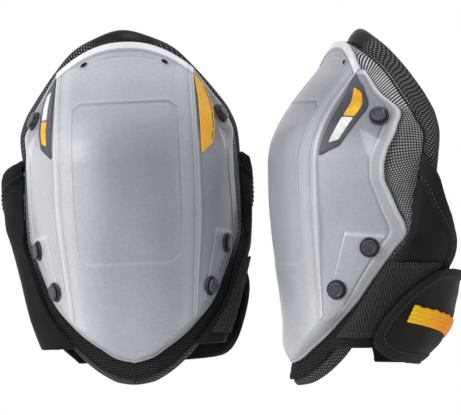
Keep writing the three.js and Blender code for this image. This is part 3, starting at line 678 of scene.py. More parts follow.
    m = Mat("loop_pile", 0.95, 0.12, Sheen_Weight=0.06, Sheen_Roughness=0.6)
    d1 = m.wave(m.line(0.71, 0.71), 1.35)
    d2 = m.wave(m.line(-0.71, 0.71), 1.35)
    h = m.math("MAXIMUM", m.range(d1, 0.45, 0.95, 0, 1, True), m.math("MULTIPLY", m.range(d2, 0.5, 1, 0, 1, True), 0.6))
    fuzz = m.noise(900, 4)
    c = m.mix(h, srgb(13, 13, 13), srgb(70, 69, 68))
    c = m.shade(c, m.range(fuzz, 0.3, 0.7, 0.7, 1.2))
    m.color(c).bump(m.math("ADD", h, m.math("MULTIPLY", fuzz, 0.6)), 0.4, 1.0)
    M["loop"] = m.m

    m = Mat("hook_field", 0.6, 0.3)
    h = m.math("MULTIPLY", m.wave(m.line(1, 0), 0.9), m.wave(m.line(0, 1), 0.9))
    m.color(m.mix(h, srgb(10, 10, 10), srgb(66, 66, 66))).bump(h, 0.5, 1.0)
    M["hook"] = m.m

    m = Mat("tab_webbing", 0.6, 0.25)
    u, v = m.uv()
    a = m.wave(m.line(0.87, 0.5), 1.25)
    b = m.wave(m.line(-0.87, 0.5), 1.25)
    rib = m.wave(v, 2.6)
    h = m.math("MULTIPLY", m.math("MAXIMUM", a, b), m.range(rib, 0, 0.6, 0.7, 1))
    c = m.mix(m.range(u, 0, 40), srgb(255, 206, 26), srgb(255, 150, 0))
    c = m.shade(c, m.range(h, 0.3, 1.0, 0.7, 1.35))
    m.color(c).bump(h, 0.3, 1.0)
    M["webbing"] = m.m

    m = Mat("sewing_thread", 0.6, 0.3)
    h = m.wave(m.line(1, 0.6), 0.5)
    m.color(m.mix(h, srgb(44, 44, 45), srgb(96, 96, 98))).bump(h, 0.1, 1.0)
    M["thread"] = m.m

    m = Mat("gasket_beads", 0.5, 0.35)
    u, v = m.uv()
    h = m.range(m.wave(u, 2.6), 0.35, 0.8, 0, 1, True)
    c = m.mix(h, srgb(26, 26, 28), srgb(176, 178, 182))
    m.color(c).bump(h, 0.5, 1.0)
    M["beads"] = m.m

    m = Mat("foam_cells", 0.95, 0.15)
    n = m.noise(700, 5)
    m.color(m.mix(m.range(n, 0.35, 0.65), srgb(40, 40, 42), srgb(82, 82, 85))).bump(n, 0.3, 1.0)
    M["foam"] = m.m

    m = Mat("liner_knit", 0.92, 0.15, Sheen_Weight=0.35, Sheen_Roughness=0.5)
    a = m.wave(m.line(1, 0), 1.6)
    b = m.wave(m.line(0, 1), 1.4)
    h = m.math("MULTIPLY", a, b)
    c = m.mix(h, srgb(24, 24, 25), srgb(66, 66, 68))
    c = m.shade(c, m.range(m.noise(60, 3), 0.3, 0.7, 0.8, 1.15))
    m.color(c).bump(h, 0.35, 1.0)
    M["liner"] = m.m

    m = Mat("gel_blue", 0.25, 0.5, Subsurface_Weight=0.5, Subsurface_Scale=0.004)
    n = m.noise(90, 3)
    m.color(m.mix(m.range(n, 0.3, 0.7), srgb(70, 104, 150), srgb(108, 146, 190))).bump(n, 0.1, 0.6)
    M["gel"] = m.m

    m = Mat("pale_floor", 0.9, 0.1)
    n = m.noise(14, 4)
    m.color(m.mix(m.range(n, 0.3, 0.7), srgb(236, 236, 236), srgb(244, 244, 244))).bump(n, 0.2, 0.3)
    M["floor"] = m.m
    return M


M = make_materials()


# ------------------------------------------------------------------- shell
def shell_sheet(us, qs, ss):
    """Middle face and sides, with shared borders. Returns points, quads and per-point (kind, u, q, s, sign)."""
    vs = 1 - np.array([q for q in qs if q <= 1])[::-1]
    nu, nv = len(us), len(vs)
    U, Vv = np.meshgrid(us, vs, indexing="ij")
    pts = [face(U, Vv).reshape(-1, 3)]
    info = [np.stack([0 * U, U, 1 - Vv, 0 * U, np.sign(U)], -1).reshape(-1, 5)]
    quads = [grid_faces(nu, nv)]
    border = [((nu - 1) * nv + j, 1 - vs[j], 1.0) for j in range(nv - 1, -1, -1)]
    border += [(i * nv, 2 - abs(us[i]), 1.0 if us[i] >= 0 else -1.0) for i in range(nu - 2, -1, -1)]
    border += [(j, 1 - vs[j], -1.0) for j in range(1, nv)]
    q = np.array([b[1] for b in border])
    sg = np.array([b[2] for b in border])
    Q, S = np.meshgrid(q, ss, indexing="ij")
    p = side(Q, S)
    p[..., 0] *= sg[:, None]
    base = nu * nv
    pts.append(p.reshape(-1, 3))
    info.append(np.stack([0 * Q + 1, 0 * Q + 1, Q, S, sg[:, None] + 0 * S], -1).reshape(-1, 5))
    m = len(ss)
    first = np.array([b[0] for b in border])
    idx = np.concatenate([first[:, None], base + np.arange(len(border) * m).reshape(-1, m)], 1)
    a, b = idx[:-1, :-1], idx[:-1, 1:]
    c, d = idx[1:, 1:], idx[1:, :-1]
    quads.append(np.stack([a, d, c, b], -1).reshape(-1, 4))
    return np.concatenate(pts), np.concatenate(quads), np.concatenate(info)


def ramp_list(*parts):
    out = []
    for a, b, n in parts:
        out += list(np.linspace(a, b, n, endpoint=False))
    return out + [parts[-1][1]]


FACET = [(0.215, 0.50), (0.35, 0.84), (0.262, 0.93)]  # (q, s) corners of the cut facet


def in_triangle(q, s, tri):
    """Least barycentric weight of a point in a triangle, at 0 outside."""
    (x0, y0), (x1, y1), (x2, y2) = tri
    det = (y1 - y2) * (x0 - x2) + (x2 - x1) * (y0 - y2)
    a = ((y1 - y2) * (q - x2) + (x2 - x1) * (s - y2)) / det
    b = ((y2 - y0) * (q - x2) + (x0 - x2) * (s - y2)) / det
    return np.maximum(0, np.minimum(np.minimum(a, b), 1 - a - b))


def band(x, c, w):
    return np.exp(-(((x - c) / w) ** 2))


def shell_relief_and_painted_light(p, info):
    """Height above the plain surface in mm, and painted brightness (1 is the plain shell): painted light, painted shade
    and painted highlights.
    """
    kind, u, q, s, sg = info.T
    is_face = kind == 0
    x, z = p[:, 0], p[:, 2]
    au = np.abs(u)
    v = 1 - q
    h = np.zeros(len(p))
    t = np.full(len(p), 1.0)
    # ---- middle face
    # painted light and shade on the middle face: lighter left of centre, darker in the middle, lighter low down, at the
    # top and near the ridges
    t += is_face * (0.05 * band(x, -22, 18) * smooth(60, 140, z) - 0.10 * band(x, 6, 24) * smooth(60, 130, z) + 0.08 * smooth(90, 30, z) + 0.10 * smooth(196, 214, z) + 0.16 * band(au, 0.86, 0.09))
    # recessed panel: a stepped outline that fades out towards the bottom
    corner = z - 5 * smooth(0.60, 0.76, au)
    fade = smooth(80, 83, corner)
    side_edge = smooth(0.735, 0.765, au)
    top_edge = smooth(188.5, 190.5, z + 4 * smooth(0.62, 0.76, au))
    inside = (1 - side_edge) * (1 - top_edge) * fade
    h += is_face * (-0.32 * inside)
    # painted shade and painted highlight lines along the step of the recess, at its sides, top and bottom
    t += is_face * (-0.22 * band(au, 0.75, 0.009) + 0.10 * band(au, 0.775, 0.009)) * (1 - top_edge) * fade * (0.4 + 0.6 * smooth(88, 150, z))
    t += is_face * (1 - side_edge) * (-0.22 * band(z + 4 * smooth(0.62, 0.76, au), 189, 0.7) + 0.10 * band(z + 4 * smooth(0.62, 0.76, au), 190.9, 0.7))
    t += is_face * (1 - side_edge) * (0.09 * band(corner, 81.2, 0.9) - 0.03 * band(corner, 83.2, 0.8))
    # ridge bead, with painted highlight lines on its crests and painted shade lines beside them
    bead = is_face * smooth(0.935, 0.96, au) + (~is_face) * (1 - smooth(0.03, 0.06, s)) * (q <= 1)
    h += 0.55 * bead * smooth(0.985, 0.96, v * is_face)
    t += is_face * (0.45 * band(au, 0.993, 0.010) - 0.18 * band(au, 0.937, 0.010) + 0.20 * band(au, 0.962, 0.008))
    t += (~is_face) * (q <= 1) * (0.45 * band(s, 0.0, 0.02) - 0.16 * band(s, 0.065, 0.02))
    # lip along the top, painted bright as a highlight, with a painted shade line below it
    lip = is_face * smooth(0.978, 0.985, v)
    h += 1.0 * lip
    t += is_face * (0.75 * smooth(0.980, 0.986, v) - 0.22 * band(v, 0.9765, 0.0022))
    # crease between the vents, with a painted shade line in it and a painted highlight line beside it
    t += is_face * (-0.10 * band(v, 0.958, 0.0022) * smooth(0.5, 0.42, au) + 0.10 * band(v, 0.954, 0.002) * smooth(0.5, 0.42, au))
    h += is_face * (-0.25 * band(v, 0.958, 0.0022) * smooth(0.5, 0.42, au))
    # ---- sides
    sd = (~is_face).astype(float)
    up = sd * (q <= 1)
    # rim flange, painted lighter at its very edge as a painted highlight, with a painted highlight and a painted shade
    # line at its step
    h += sd * (0.55 * smooth(0.835, 0.86, s) * smooth(0.28, 0.36, q)) - up * 0.0
    t += sd * (0.30 * smooth(0.965, 0.985, s) + 0.24 * band(s, 0.866, 0.012) - 0.24 * band(s, 0.828, 0.016) + 0.06 * smooth(0.86, 0.9, s))
    # painted highlight at the top end of the side panels
    t += up * (0.5 * smooth(0.016, 0.008, q))
    # raised band that carries the two lower rivets
    plate = up * smooth(0.635, 0.652, q) * smooth(0.93, 0.915, q) * smooth(0.34, 0.37, s) * smooth(0.83, 0.80, s)
    h += 0.65 * plate
    # painted highlight and painted shade lines along the band's edges
    t += up * smooth(0.635, 0.66, q) * smooth(0.93, 0.915, q) * (0.26 * band(s, 0.365, 0.014) - 0.12 * band(s, 0.335, 0.014))
    t += up * smooth(0.34, 0.37, s) * smooth(0.83, 0.80, s) * 0.35 * band(q, 0.650, 0.006)
    # facet cut below the upper rivet, painted lighter as painted light on the facet
    f = np.where(up > 0, in_triangle(q, s, FACET), 0)
    h += -3.0 * np.minimum(f, 0.25)
    t += up * (0.34 * smooth(0, 0.12, f))
    # side panels: painted shade high up under the ridge, partly the dark foam seen through the shell; a slow wave of
    # tone; painted light low down and round the back
    t += up * (-0.34 * smooth(0.32, 0.20, q) * smooth(0.98, 0.9, s) + 0.02 * np.sin(z * 0.045 + 0.6) + 0.10 * smooth(0.7, 0.95, q)) + sd * (q > 1) * 0.10
    return h, np.clip(t, 0.35, 2.0)


US = np.array(sorted(set(np.round(np.concatenate([np.linspace(-1, -0.9, 17), np.linspace(-0.9, -0.79, 6), np.linspace(-0.79, -0.72, 13), np.linspace(-0.72, 0.72, 66), np.linspace(0.72, 0.79, 13), np.linspace(0.79, 0.9, 6), np.linspace(0.9, 1, 17)]), 5))))
QS = np.array(sorted(set(np.round(np.concatenate([np.linspace(0, 0.03, 16), np.linspace(0.03, 0.05, 12), np.linspace(0.05, 0.14, 18), np.linspace(0.14, 0.2, 24), np.linspace(0.2, 0.62, 96), np.linspace(0.62, 0.67, 16), np.linspace(0.67, 1, 66)]), 5))))
SS = np.array(sorted(set(np.round(np.concatenate([np.linspace(0.0, 0.1, 11)[1:], np.linspace(0.1, 0.32, 10), np.linspace(0.32, 0.38, 8), np.linspace(0.38, 0.79, 22), np.linspace(0.79, 0.88, 13), np.linspace(0.88, 1, 12)]), 5))))


def add_shell(pad):
    p, quads, info = shell_sheet(US, QS, SS)
    h, t = shell_relief_and_painted_light(p, info)
    x, z, on_face = p[:, 0], p[:, 2], info[:, 0] == 0
    # painted light and shade for each pad: the right pad lighter on its left side below the top, darker on its right,
    # lighter high on the face and darker in the middle of the face; the left pad lighter overall and low on the face,
    # darker near the top of the face
    if pad.name == "right":
        t += 0.34 * smooth(-8, -48, x) * (1 - 0.95 * smooth(150, 196, z)) - 0.10 * smooth(0, 30, x) + 0.10 * smooth(150, 205, z) * on_face - 0.12 * on_face * band(x, 4, 26) * band(z, 165, 45)
    else:
        t += 0.14 + 0.10 * on_face * smooth(110, 40, z) - 0.30 * on_face * smooth(158, 190, z) - 0.10 * on_face * smooth(120, 160, z)
    t = np.clip(t, 0.35, 2.0)
    outer = sunk(p, -h)
    inner = sunk(p, SHELL_T)
    verts, faces, own = slab(outer, inner, quads, 0.9, 6)
    tint = t[own]
    n = len(p)
    tint[2 * n:] = 1.45  # the rolled edge catches the light
    # the inner surface is painted a little darker, a painted shade
    tint[n:2 * n] = 0.9
    uv = np.stack([p[:, 0], p[:, 2]], -1)[own]
    return pad.make("shell_skin", verts, faces, M["shell"], uv=uv, tint=tint, replaces=["shell"], slot="shell")


def add_vents(pad):
    out = []
    for i, sg in enumerate((-1, 1)):
        u0, v0, e = 0.60 * sg, 0.9625, 1e-3
        c = sunk(face(u0, v0), -0.15)
        tu = unit(face(u0 + e, v0) - face(u0 - e, v0)) * sg
        tv = face(u0, v0 + e) - face(u0, v0 - e)
        tv = unit(tv - tu * tv.dot(tu))
        tu = unit(tu - tv * 0.12)
        n = -inward(c)
        ang = np.linspace(0, 2 * np.pi, 40, endpoint=False)
        ca, sa = np.cos(ang), np.sin(ang)
        shape = lambda a, b: (np.sign(ca) * np.abs(ca) ** 1.25 * a)[:, None] * tu + (np.sign(sa) * np.abs(sa) ** 1.0 * b)[:, None] * tv
        # dark opening, a near-black dish standing for the painted shadow inside the vent
        rings = [c + shape(2.7 * k, 1.6 * k) + n * (0.22 - 0.06 * (1 - k)) for k in (1.0, 0.8, 0.55, 0.3, 0.08)]
        verts = np.concatenate(rings + [rings[0] - n * 1.2])
        m = len(ang)
        faces = []
        order = [5, 0, 1, 2, 3, 4]
        for a, b in zip(order[:-1], order[1:]):
            for k in range(m):
                k2 = (k + 1) % m
                faces.append([a * m + k, a * m + k2, b * m + k2, b * m + k])
        faces.append([4 * m + k for k in range(m)])
        faces.append([5 * m + k for k in range(m)][::-1])
        pad.make(f"vent_opening_{i + 1}", verts, faces, M["slot"], uv=verts[:, [0, 2]], slot="shell")
        # moulded lip round it, painted lighter as a painted highlight
        tube = []
        ph = np.linspace(0, 2 * np.pi, 10, endpoint=False)
        for a in ph:
            tube.append(c + shape(2.85 + 0.3 * math.cos(a), 1.8 + 0.3 * math.cos(a)) + n * (0.12 + 0.3 * math.sin(a)))
        tube = np.stack(tube, 1)  # m x 10 x 3
        faces = grid_faces(m, 10, True, True)
        pad.make(f"vent_lip_{i + 1}", tube.reshape(-1, 3), faces, M["shell"], uv=tube.reshape(-1, 3)[:, [0, 2]], tint=np.full(m * 10, 1.2), slot="shell")
    return out


LABEL = [(0.014, 0.11), (0.052, 0.60), (0.298, 0.375), (0.345, 0.08)]  # (q, s) corners: inner top, outer top, outer bottom, inner bottom


def label_point(a, b, sign, lift):
    (q0, s0), (q1, s1), (q2, s2), (q3, s3) = LABEL
    q = lerp(lerp(q0, q3, a), lerp(q1, q2, a), b)
    s = lerp(lerp(s0, s3, a), lerp(s1, s2, a), b)
    return sunk(side(q, s, sign), -np.asarray(lift, float) + 0 * q)


def add_labels(pad):
    def patch(a0, a1, b0, b1, na, nb, lo, hi, sign, corner=0.0):
        A, B = np.meshgrid(np.linspace(0, 1, na), np.linspace(0, 1, nb), indexing="ij")
        if corner:
            # pull the corners in so that the outline is rounded
            x, y = 2 * A - 1, 2 * B - 1
            k = np.maximum(np.abs(x), np.abs(y))
            ln = (np.abs(x) ** corner + np.abs(y) ** corner) ** (1 / corner)
            f = np.where(ln > 0, k / np.maximum(ln, 1e-9), 1)
            A, B = (x * f + 1) / 2, (y * f + 1) / 2
        A, B = lerp(a0, a1, A), lerp(b0, b1, B)
        P, Q = label_point(A, B, sign, hi), label_point(A, B, sign, lo)
        uv = np.stack([A * 64, B * 18], -1).reshape(-1, 2)
        v, f, own = slab(P, Q, grid_faces(na, nb), 0.6, 3)
        return v, f, uv[own]

    dark, orange = pad.dark, -pad.dark
    v, f, uv = patch(0, 1, 0, 1, 60, 22, 0.1, 0.9, dark, 26)
    pad.make("label_dark_plate", v, f, M["label_dark"], uv=uv, replaces=["label_dark"], slot="plate_dark")
    v, f, uv = patch(0, 1, 0, 1, 60, 22, 0.1, 0.9, orange, 26)
    pad.make("label_orange_plate", v, f, M["label_orange"], uv=uv, replaces=["label_orange"], slot="plate_orange")
    # plain printed bars
    for i, (a0, a1, ink) in enumerate(((0.12, 0.50, "ink_white" if pad.name == "right" else "ink_yellow"), (0.52, 0.88, "ink_yellow" if pad.name == "right" else "ink_white"))):
        v, f, uv = patch(a0, a1, 0.38, 0.80, 24, 8, 0.84, 0.99, dark, 14)
        pad.make(f"label_bar_{i + 1}", v, f, M[ink], uv=uv, slot="plate_dark")
    for i, (a0, a1) in enumerate(((0.05, 0.44), (0.47, 0.76), (0.79, 0.93))):
        v, f, uv = patch(a0, a1, 0.84, 0.905, 16, 4, 0.84, 0.97, orange, 14)
        pad.make(f"label_dash_{i + 1}", v, f, M["ink_black"], uv=uv, slot="plate_orange")


def rivet_places():
    q, s = np.meshgrid(np.arange(0.05, 0.95, 0.004), np.arange(0.1, 0.95, 0.01), indexing="ij")
    p = side(q, s)
    out = []
    for want in RIVETS:
        d = np.linalg.norm(p - np.array(want), axis=-1)
        i = np.unravel_index(d.argmin(), d.shape)
        out.append((float(q[i]), float(s[i])))
    return out


PLACES = rivet_places()


def add_rivets(pad):
    cap = [(0, 2.5), (4.7, 2.5), (5.05, 2.62), (5.2, 2.9), (5.18, 3.3), (5.0, 3.75), (4.7, 4.05), (4.3, 4.2), (3.9, 4.24), (3.6, 4.14), (3.45, 4.0), (3.0, 3.96), (1.5, 4.02), (0, 4.05)]
    ring = [(3.3, 0.5), (6.4, 0.5), (6.65, 0.65), (6.7, 0.95), (6.62, 1.4), (6.4, 1.8), (6.05, 2.05), (5.6, 2.12), (5.3, 2.0), (5.1, 1.8), (3.3, 1.78)]
    n = 56
    ang = np.linspace(0, 2 * np.pi, n, endpoint=False)
    k = 0
    for sign in (1, -1):
        for q, s in PLACES:
            k += 1
            p = side(q, s, sign)
            nn = side_normal(q, s)
            nn = nn * np.array([sign, 1, 1])
            t1 = unit(np.cross(nn, [0, 0, 1]))
            t2 = np.cross(nn, t1)
            for name, prof, mat, close in (("rivet_head", cap, "rivet", False), ("rivet_washer", ring, "washer", True)):
                pr = np.array(prof)
                rad, ht = pr[:, 0], pr[:, 1]
                v = p + rad[:, None, None] * (np.cos(ang)[None, :, None] * t1 + np.sin(ang)[None, :, None] * t2) + ht[:, None, None] * nn
                v = v.reshape(-1, 3)
                m = len(prof)
                f = [list(x) for x in grid_faces(m, n, close, True)]
                if not close:  # merge the two poles
                    keep = np.concatenate([[0], np.arange(n, (m - 1) * n), [(m - 1) * n]])
                    remap = np.zeros(m * n, int)
                    remap[:n] = 0
                    remap[n:(m - 1) * n] = np.arange(1, (m - 2) * n + 1)
                    remap[(m - 1) * n:] = (m - 2) * n + 1
                    f = [[x for i, x in enumerate([remap[y] for y in g]) if x not in [remap[y] for y in g][:i]] for g in f]
                    f = [g for g in f if len(g) > 2]
                    v = v[keep]
                node = f"rivet_cap_{k}" if name == "rivet_head" else f"rivet_ring_{k}"
                pad.make(f"{name}_{k}", v, f, M[mat], uv=v[:, [0, 2]], replaces=[node], slot="rivet")


# -------------------------------------------------- side mesh, collar, gasket
def edge_at(q, s):
    return side(q, s) if q >= 0 else face(1 + q, 1 - 0.18 * (1 - s))


def rim_table():
    rows = []
    for i, (q, b, c) in enumerate(RIM):
        rows.append([i, *edge_at(q, 1.0), *edge_at(q, 0.72), *b, *c])
    rows = np.array(rows, float)
    flip = np.array([1, -1, 1, 1, -1, 1, 1, -1, 1, 1, -1, 1, 1])
    lo = rows[2:0:-1] * flip
    lo[:, 0] = [-2, -1]
    hi = rows[-2:-4:-1] * flip
    hi[:, 0] = [16, 17]
    return table(np.concatenate([lo, rows, hi]))


RIM_T = rim_table()


def rim_points(w, sign):
    p = [np.stack([curve(RIM_T, w, 3 * k + j) for j in range(3)], -1) for k in range(4)]
    z = p[3][..., 2]
    p[3][..., 0] += 3.2 * smooth(138, 172, z) * smooth(238, 222, z) * np.ones_like(z)
    for x in p:
        x[..., 0] *= sign
    return p  # edge, edge at 0.72, seam, back


def rim_loop(n=16):
    """Round the whole pad: right side up, then left side down. Stations and sign."""
    w = np.linspace(0, 15, 15 * n + 1)
    return np.concatenate([w, w[-2:0:-1]]), np.concatenate([np.ones(len(w)), -np.ones(len(w) - 2)])


def add_rim(pad):
    w, sg = rim_loop(16)
    E, E0, B, C = [x * np.stack([sg, 1 + 0 * sg, 1 + 0 * sg], -1) for x in rim_points(w, 1)]
    L = len(w)
    run = np.concatenate([[0], np.cumsum(np.linalg.norm(np.diff(B, axis=0), axis=1))])
    total = run[-1] + np.linalg.norm(B[-1] - B[0])
    total = round(total / 2.1) * 2.1
    if pad.name == "right":  # this pad's collar leans a little to its left
        C = C + np.stack([-2.2 * smooth(138, 172, C[:, 2]), 0 * w, 0 * w], -1)
    C = C + np.stack([0 * w, 0 * w, 1.4 * smooth(200, 230, C[:, 2])], -1)
    # spacer mesh, crowned between the shell and the collar
    m0 = SHELL_T + GAP
    ts = np.linspace(0, 1, 17)
    rows = [sunk(lerp(E0, E, t), m0) for t in np.linspace(0, 0.9, 5)]
    a, b = sunk(E, m0), B
    for t in ts:
        puff = 1.5 * (4 * t * (1 - t)) ** 0.8
        rows.append(sunk(lerp(a, b, t), -puff))
    P = np.stack(rows, 1)
    Q = sunk(P, COVER_T)
    v, f, own = slab(P, Q, grid_faces(L, P.shape[1], True), 0.9, 4)
    across = np.concatenate([np.zeros((L, 1)), np.cumsum(np.linalg.norm(np.diff(P, axis=1), axis=-1), 1)], 1)
    uv = np.stack([np.repeat(run[:, None], P.shape[1], 1), across], -1).reshape(-1, 2)
    zone = np.repeat((smooth(196, 172, B[:, 2]) + smooth(112, 66, B[:, 2]))[:, None], P.shape[1], 1).reshape(-1)
    o = pad.make("side_mesh", v, f, M["mesh"], uv=uv[own], tint=zone[own], wrap=(total, None), replaces=["mesh_cover"], slot="side_mesh")
    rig.padded(o, 0.9)
    # collar: a padded tube between the seam and its back edge
    mid = (B + C) / 2
    t = unit(C - B)
    cen = sunk(mid, COLLAR_T / 2)
    ind = inward(mid)
    ind = unit(ind - t * (ind * t).sum(-1, keepdims=True))
    half = np.linalg.norm(C - B, axis=-1) / 2
    n = 30
    ang = np.linspace(0, 2 * np.pi, n, endpoint=False)
    ca, sa = np.cos(ang), np.sin(ang)
    sup = lambda c, k: np.sign(c) * np.abs(c) ** (2 / k)
    bul = 1 + 0.02 * np.sin(run / 9.0)
    T = cen[:, None] + t[:, None] * (half[:, None] * sup(ca, 2.5))[..., None] + ind[:, None] * (-(COLLAR_T / 2) * sup(sa, 2.3) * bul[:, None])[..., None]
    per = np.concatenate([np.zeros((L, 1)), np.cumsum(np.linalg.norm(np.diff(T, axis=1), axis=-1), 1)], 1)
    ptot = float(np.median(per[:, -1] + np.linalg.norm(T[:, -1] - T[:, 0], axis=-1)))
    ang_len = ang / (2 * np.pi) * ptot
    uv = np.stack([np.repeat(run[:, None], n, 1), np.repeat(ang_len[None], L, 0)], -1).reshape(-1, 2)
    # the front tip of the roll is smooth and shiny
    shine = np.repeat(smooth(0.0, 1.0, smooth(230, 236, C[:, 2]))[:, None], n, 1).reshape(-1)
    o = pad.make("collar_roll", T.reshape(-1, 3), grid_faces(L, n, True, True), M["twill"], uv=uv, tint=shine, wrap=(total, ptot), replaces=["collar"], slot="twill")
    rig.padded(o, 0.85)
    # piping in the seam between mesh and collar
    tube(pad, "collar_seam_piping", sunk(B, -0.2), 0.75, M["binding"], closed=True)
    # gasket under the shell's lower edge
    for name, sign in (("near", 1), ("far", -1)):
        q = np.linspace(0.62, 1.98, 150)
        e = side(q, 1.0)
        out = unit(e - side(q, 0.94))
        line = sunk(e, SHELL_T * 0.75) + out * 1.9
        line[:, 0] *= sign
        tube(pad, f"gasket_{name}", line, 1.35, M["beads"])
    return o


def tube(pad, name, line, r, material, closed=False, body="root", n=10, slot="twill", make=True):
    line = np.asarray(line, float)
    d = np.roll(line, -1, 0) - np.roll(line, 1, 0)
    if not closed:
        d[0], d[-1] = line[1] - line[0], line[-1] - line[-2]
    d = unit(d)
    up = -inward(line)
    a = unit(up - d * (up * d).sum(-1, keepdims=True))
    b = np.cross(d, a)
    ang = np.linspace(0, 2 * np.pi, n, endpoint=False)
    rr = np.full(len(line), float(r)) if np.ndim(r) == 0 else np.asarray(r)
    v = line[:, None] + rr[:, None, None] * (np.cos(ang)[None, :, None] * a[:, None] + np.sin(ang)[None, :, None] * b[:, None])
    run = np.concatenate([[0], np.cumsum(np.linalg.norm(np.diff(line, axis=0), axis=1))])
    uv = np.stack([np.repeat(run[:, None], n, 1), np.repeat((ang * r if np.ndim(r) == 0 else ang)[None], len(line), 0)], -1).reshape(-1, 2)
    f = [list(x) for x in grid_faces(len(line), n, closed, True)]
    if not closed:
        f.append(list(range(n)))
        f.append([(len(line) - 1) * n + k for k in range(n)][::-1])
    if not make:
        return v.reshape(-1, 3), f, uv
    return pad.make(name, v.reshape(-1, 3), f, material, body=body, uv=uv, wrap=(run[-1] if closed else None, 2 * math.pi * r), slot=slot)


def stitches(pad, name, lines, body="root", length=2.3, period=3.3, r=0.36, lift=None, slot="binding"):
    """Rows of sewn dashes along the given lines, as one piece."""
    V_, F_, UV_, base = [], [], [], 0
    for line in lines:
        line = np.asarray(line, float)
        run = np.concatenate([[0], np.cumsum(np.linalg.norm(np.diff(line, axis=0), axis=1))])
        for s0 in np.arange(period * 0.4, run[-1] - length, period):
            s = s0 + length * np.array([0, 0.12, 0.35, 0.65, 0.88, 1.0])
            pts = np.stack([np.interp(s, run, line[:, k]) for k in range(3)], -1)
            rad = r * np.array([0.35, 0.8, 1, 1, 0.8, 0.35])
            v, f, uv = tube(pad, "", pts, rad, None, n=6, make=False)
            V_.append(v)
            UV_.append(uv)
            F_ += [[x + base for x in g] for g in f]
            base += len(v)
    return pad.make(name, np.concatenate(V_), F_, M["thread"], body=body, uv=np.concatenate(UV_), slot=slot)


# --------------------------------------------------------- wings, strap, flap
def path(points, n):
    """A smooth line through points, n samples."""
    k = np.arange(len(points))
    t = table(np.column_stack([k, points]))
    s = np.linspace(0, len(points) - 1, n)
    return np.stack([curve(t, s, j) for j in range(points.shape[1])], -1)


def arc(p, axis):
    d = np.linalg.norm(np.diff(p, axis=axis), axis=-1)
    z = np.zeros_like(np.take(d, [0], axis))
    return np.concatenate([z, np.cumsum(d, axis)], axis)


def add_wing(pad, name, sign):
    ne = 84
    e = path(WING_EDGE, ne)
    dire = unit(np.gradient(e, axis=0))
    inset = lambda m: np.stack([np.maximum(e[:, 0] + dire[:, 1] * m, 0.35), np.where(np.arange(ne) == ne - 1, e[:, 1], e[:, 1] - dire[:, 0] * m)], -1)
    inner = inset(BIND_W - 1.0)
    k0 = int(np.argmax(inner[:, 0] > 0.9))
    inner = inner[k0:]
    z_low, z_top = e[-1, 1], inner[0, 1]
    sz = z_low + (z_top - z_low) * (e[k0:, 1] - z_low) / (e[k0, 1] - z_low)
    F = np.linspace(0, 1, 34)
    A = inner[:, 0:1] * F
    Z = sz[:, None] * (1 - F) + inner[:, 1:2] * F
    T = leg_t(A, Z)
    # soft puckers along the seam and low folds across the panel
    puck = 0.28 * np.sin(Z * 1.3 + 0.6 * np.sin(Z * 0.37)) * np.exp(-A / 5) + 0.30 * np.sin(0.16 * A + 0.11 * Z + 1.1) * smooth(0, 14, A)
    out = (4.0 if sign < 0 else -4.0) if pad.name == "right" else 0.0
    keep = 1 if sign < 0 else 0
    lean = lambda a, z: out * smooth(0, 11, a) * smooth(158, 146, z) * np.maximum(keep, smooth(88, 108, z)) - (2.4 + 2.0 * smooth(130, 142, z)) * (1 - smooth(0, 6, a)) * smooth(98, 110, z)  # the front edge tucks in under the rim
    P, Q = leg(T, Z, WING_T + puck + lean(A, Z), sign), leg(T, Z, lean(A, Z), sign)
    uv = np.stack([A, Z], -1).reshape(-1, 2)
    v, f, own = slab(P, Q, grid_faces(*T.shape), 0.7, 4)
    o = pad.make(f"{name}_panel", v, f, M["neoprene"], uv=uv[own], replaces=[name], slot="neoprene")
    cloth(o, "stretched")
    # binding tape folded over the edge
    ms = np.linspace(BIND_W, 0, 12)
    AA = np.stack([inset(m)[:, 0] for m in ms], 1)
    ZZ = np.stack([inset(m)[:, 1] for m in ms], 1)
    TT = leg_t(AA, ZZ)
    run = arc(np.stack([e[:, 0], e[:, 1]], -1), 0)
    crown = 0.6 + 0.45 * np.sin(np.pi * ms / BIND_W)[None] ** 0.7 + 0.07 * np.sin(run * 1.9)[:, None]
    P, Q = leg(TT, ZZ, WING_T + crown + lean(AA, ZZ), sign), leg(TT, ZZ, -0.4 - 0.2 * np.sin(np.pi * ms / BIND_W)[None] + lean(AA, ZZ), sign)
    uv = np.stack([np.repeat(run[:, None], len(ms), 1), np.repeat(ms[None], ne, 0)], -1).reshape(-1, 2)
    v, f, own = slab(P, Q, grid_faces(ne, len(ms)), 0.8, 5)
    o2 = pad.make(f"{name}_tape", v, f, M["binding"], uv=uv[own], replaces=[f"{name}_binding"], slot="binding")
    cloth(o2, "folded")
    line = inset(6.6)
    tt = leg_t(line[:, 0], line[:, 1])
    rows = [leg(tt, line[:, 1], WING_T + 1.15 + lean(line[:, 0], line[:, 1]), sign)]
    return rows


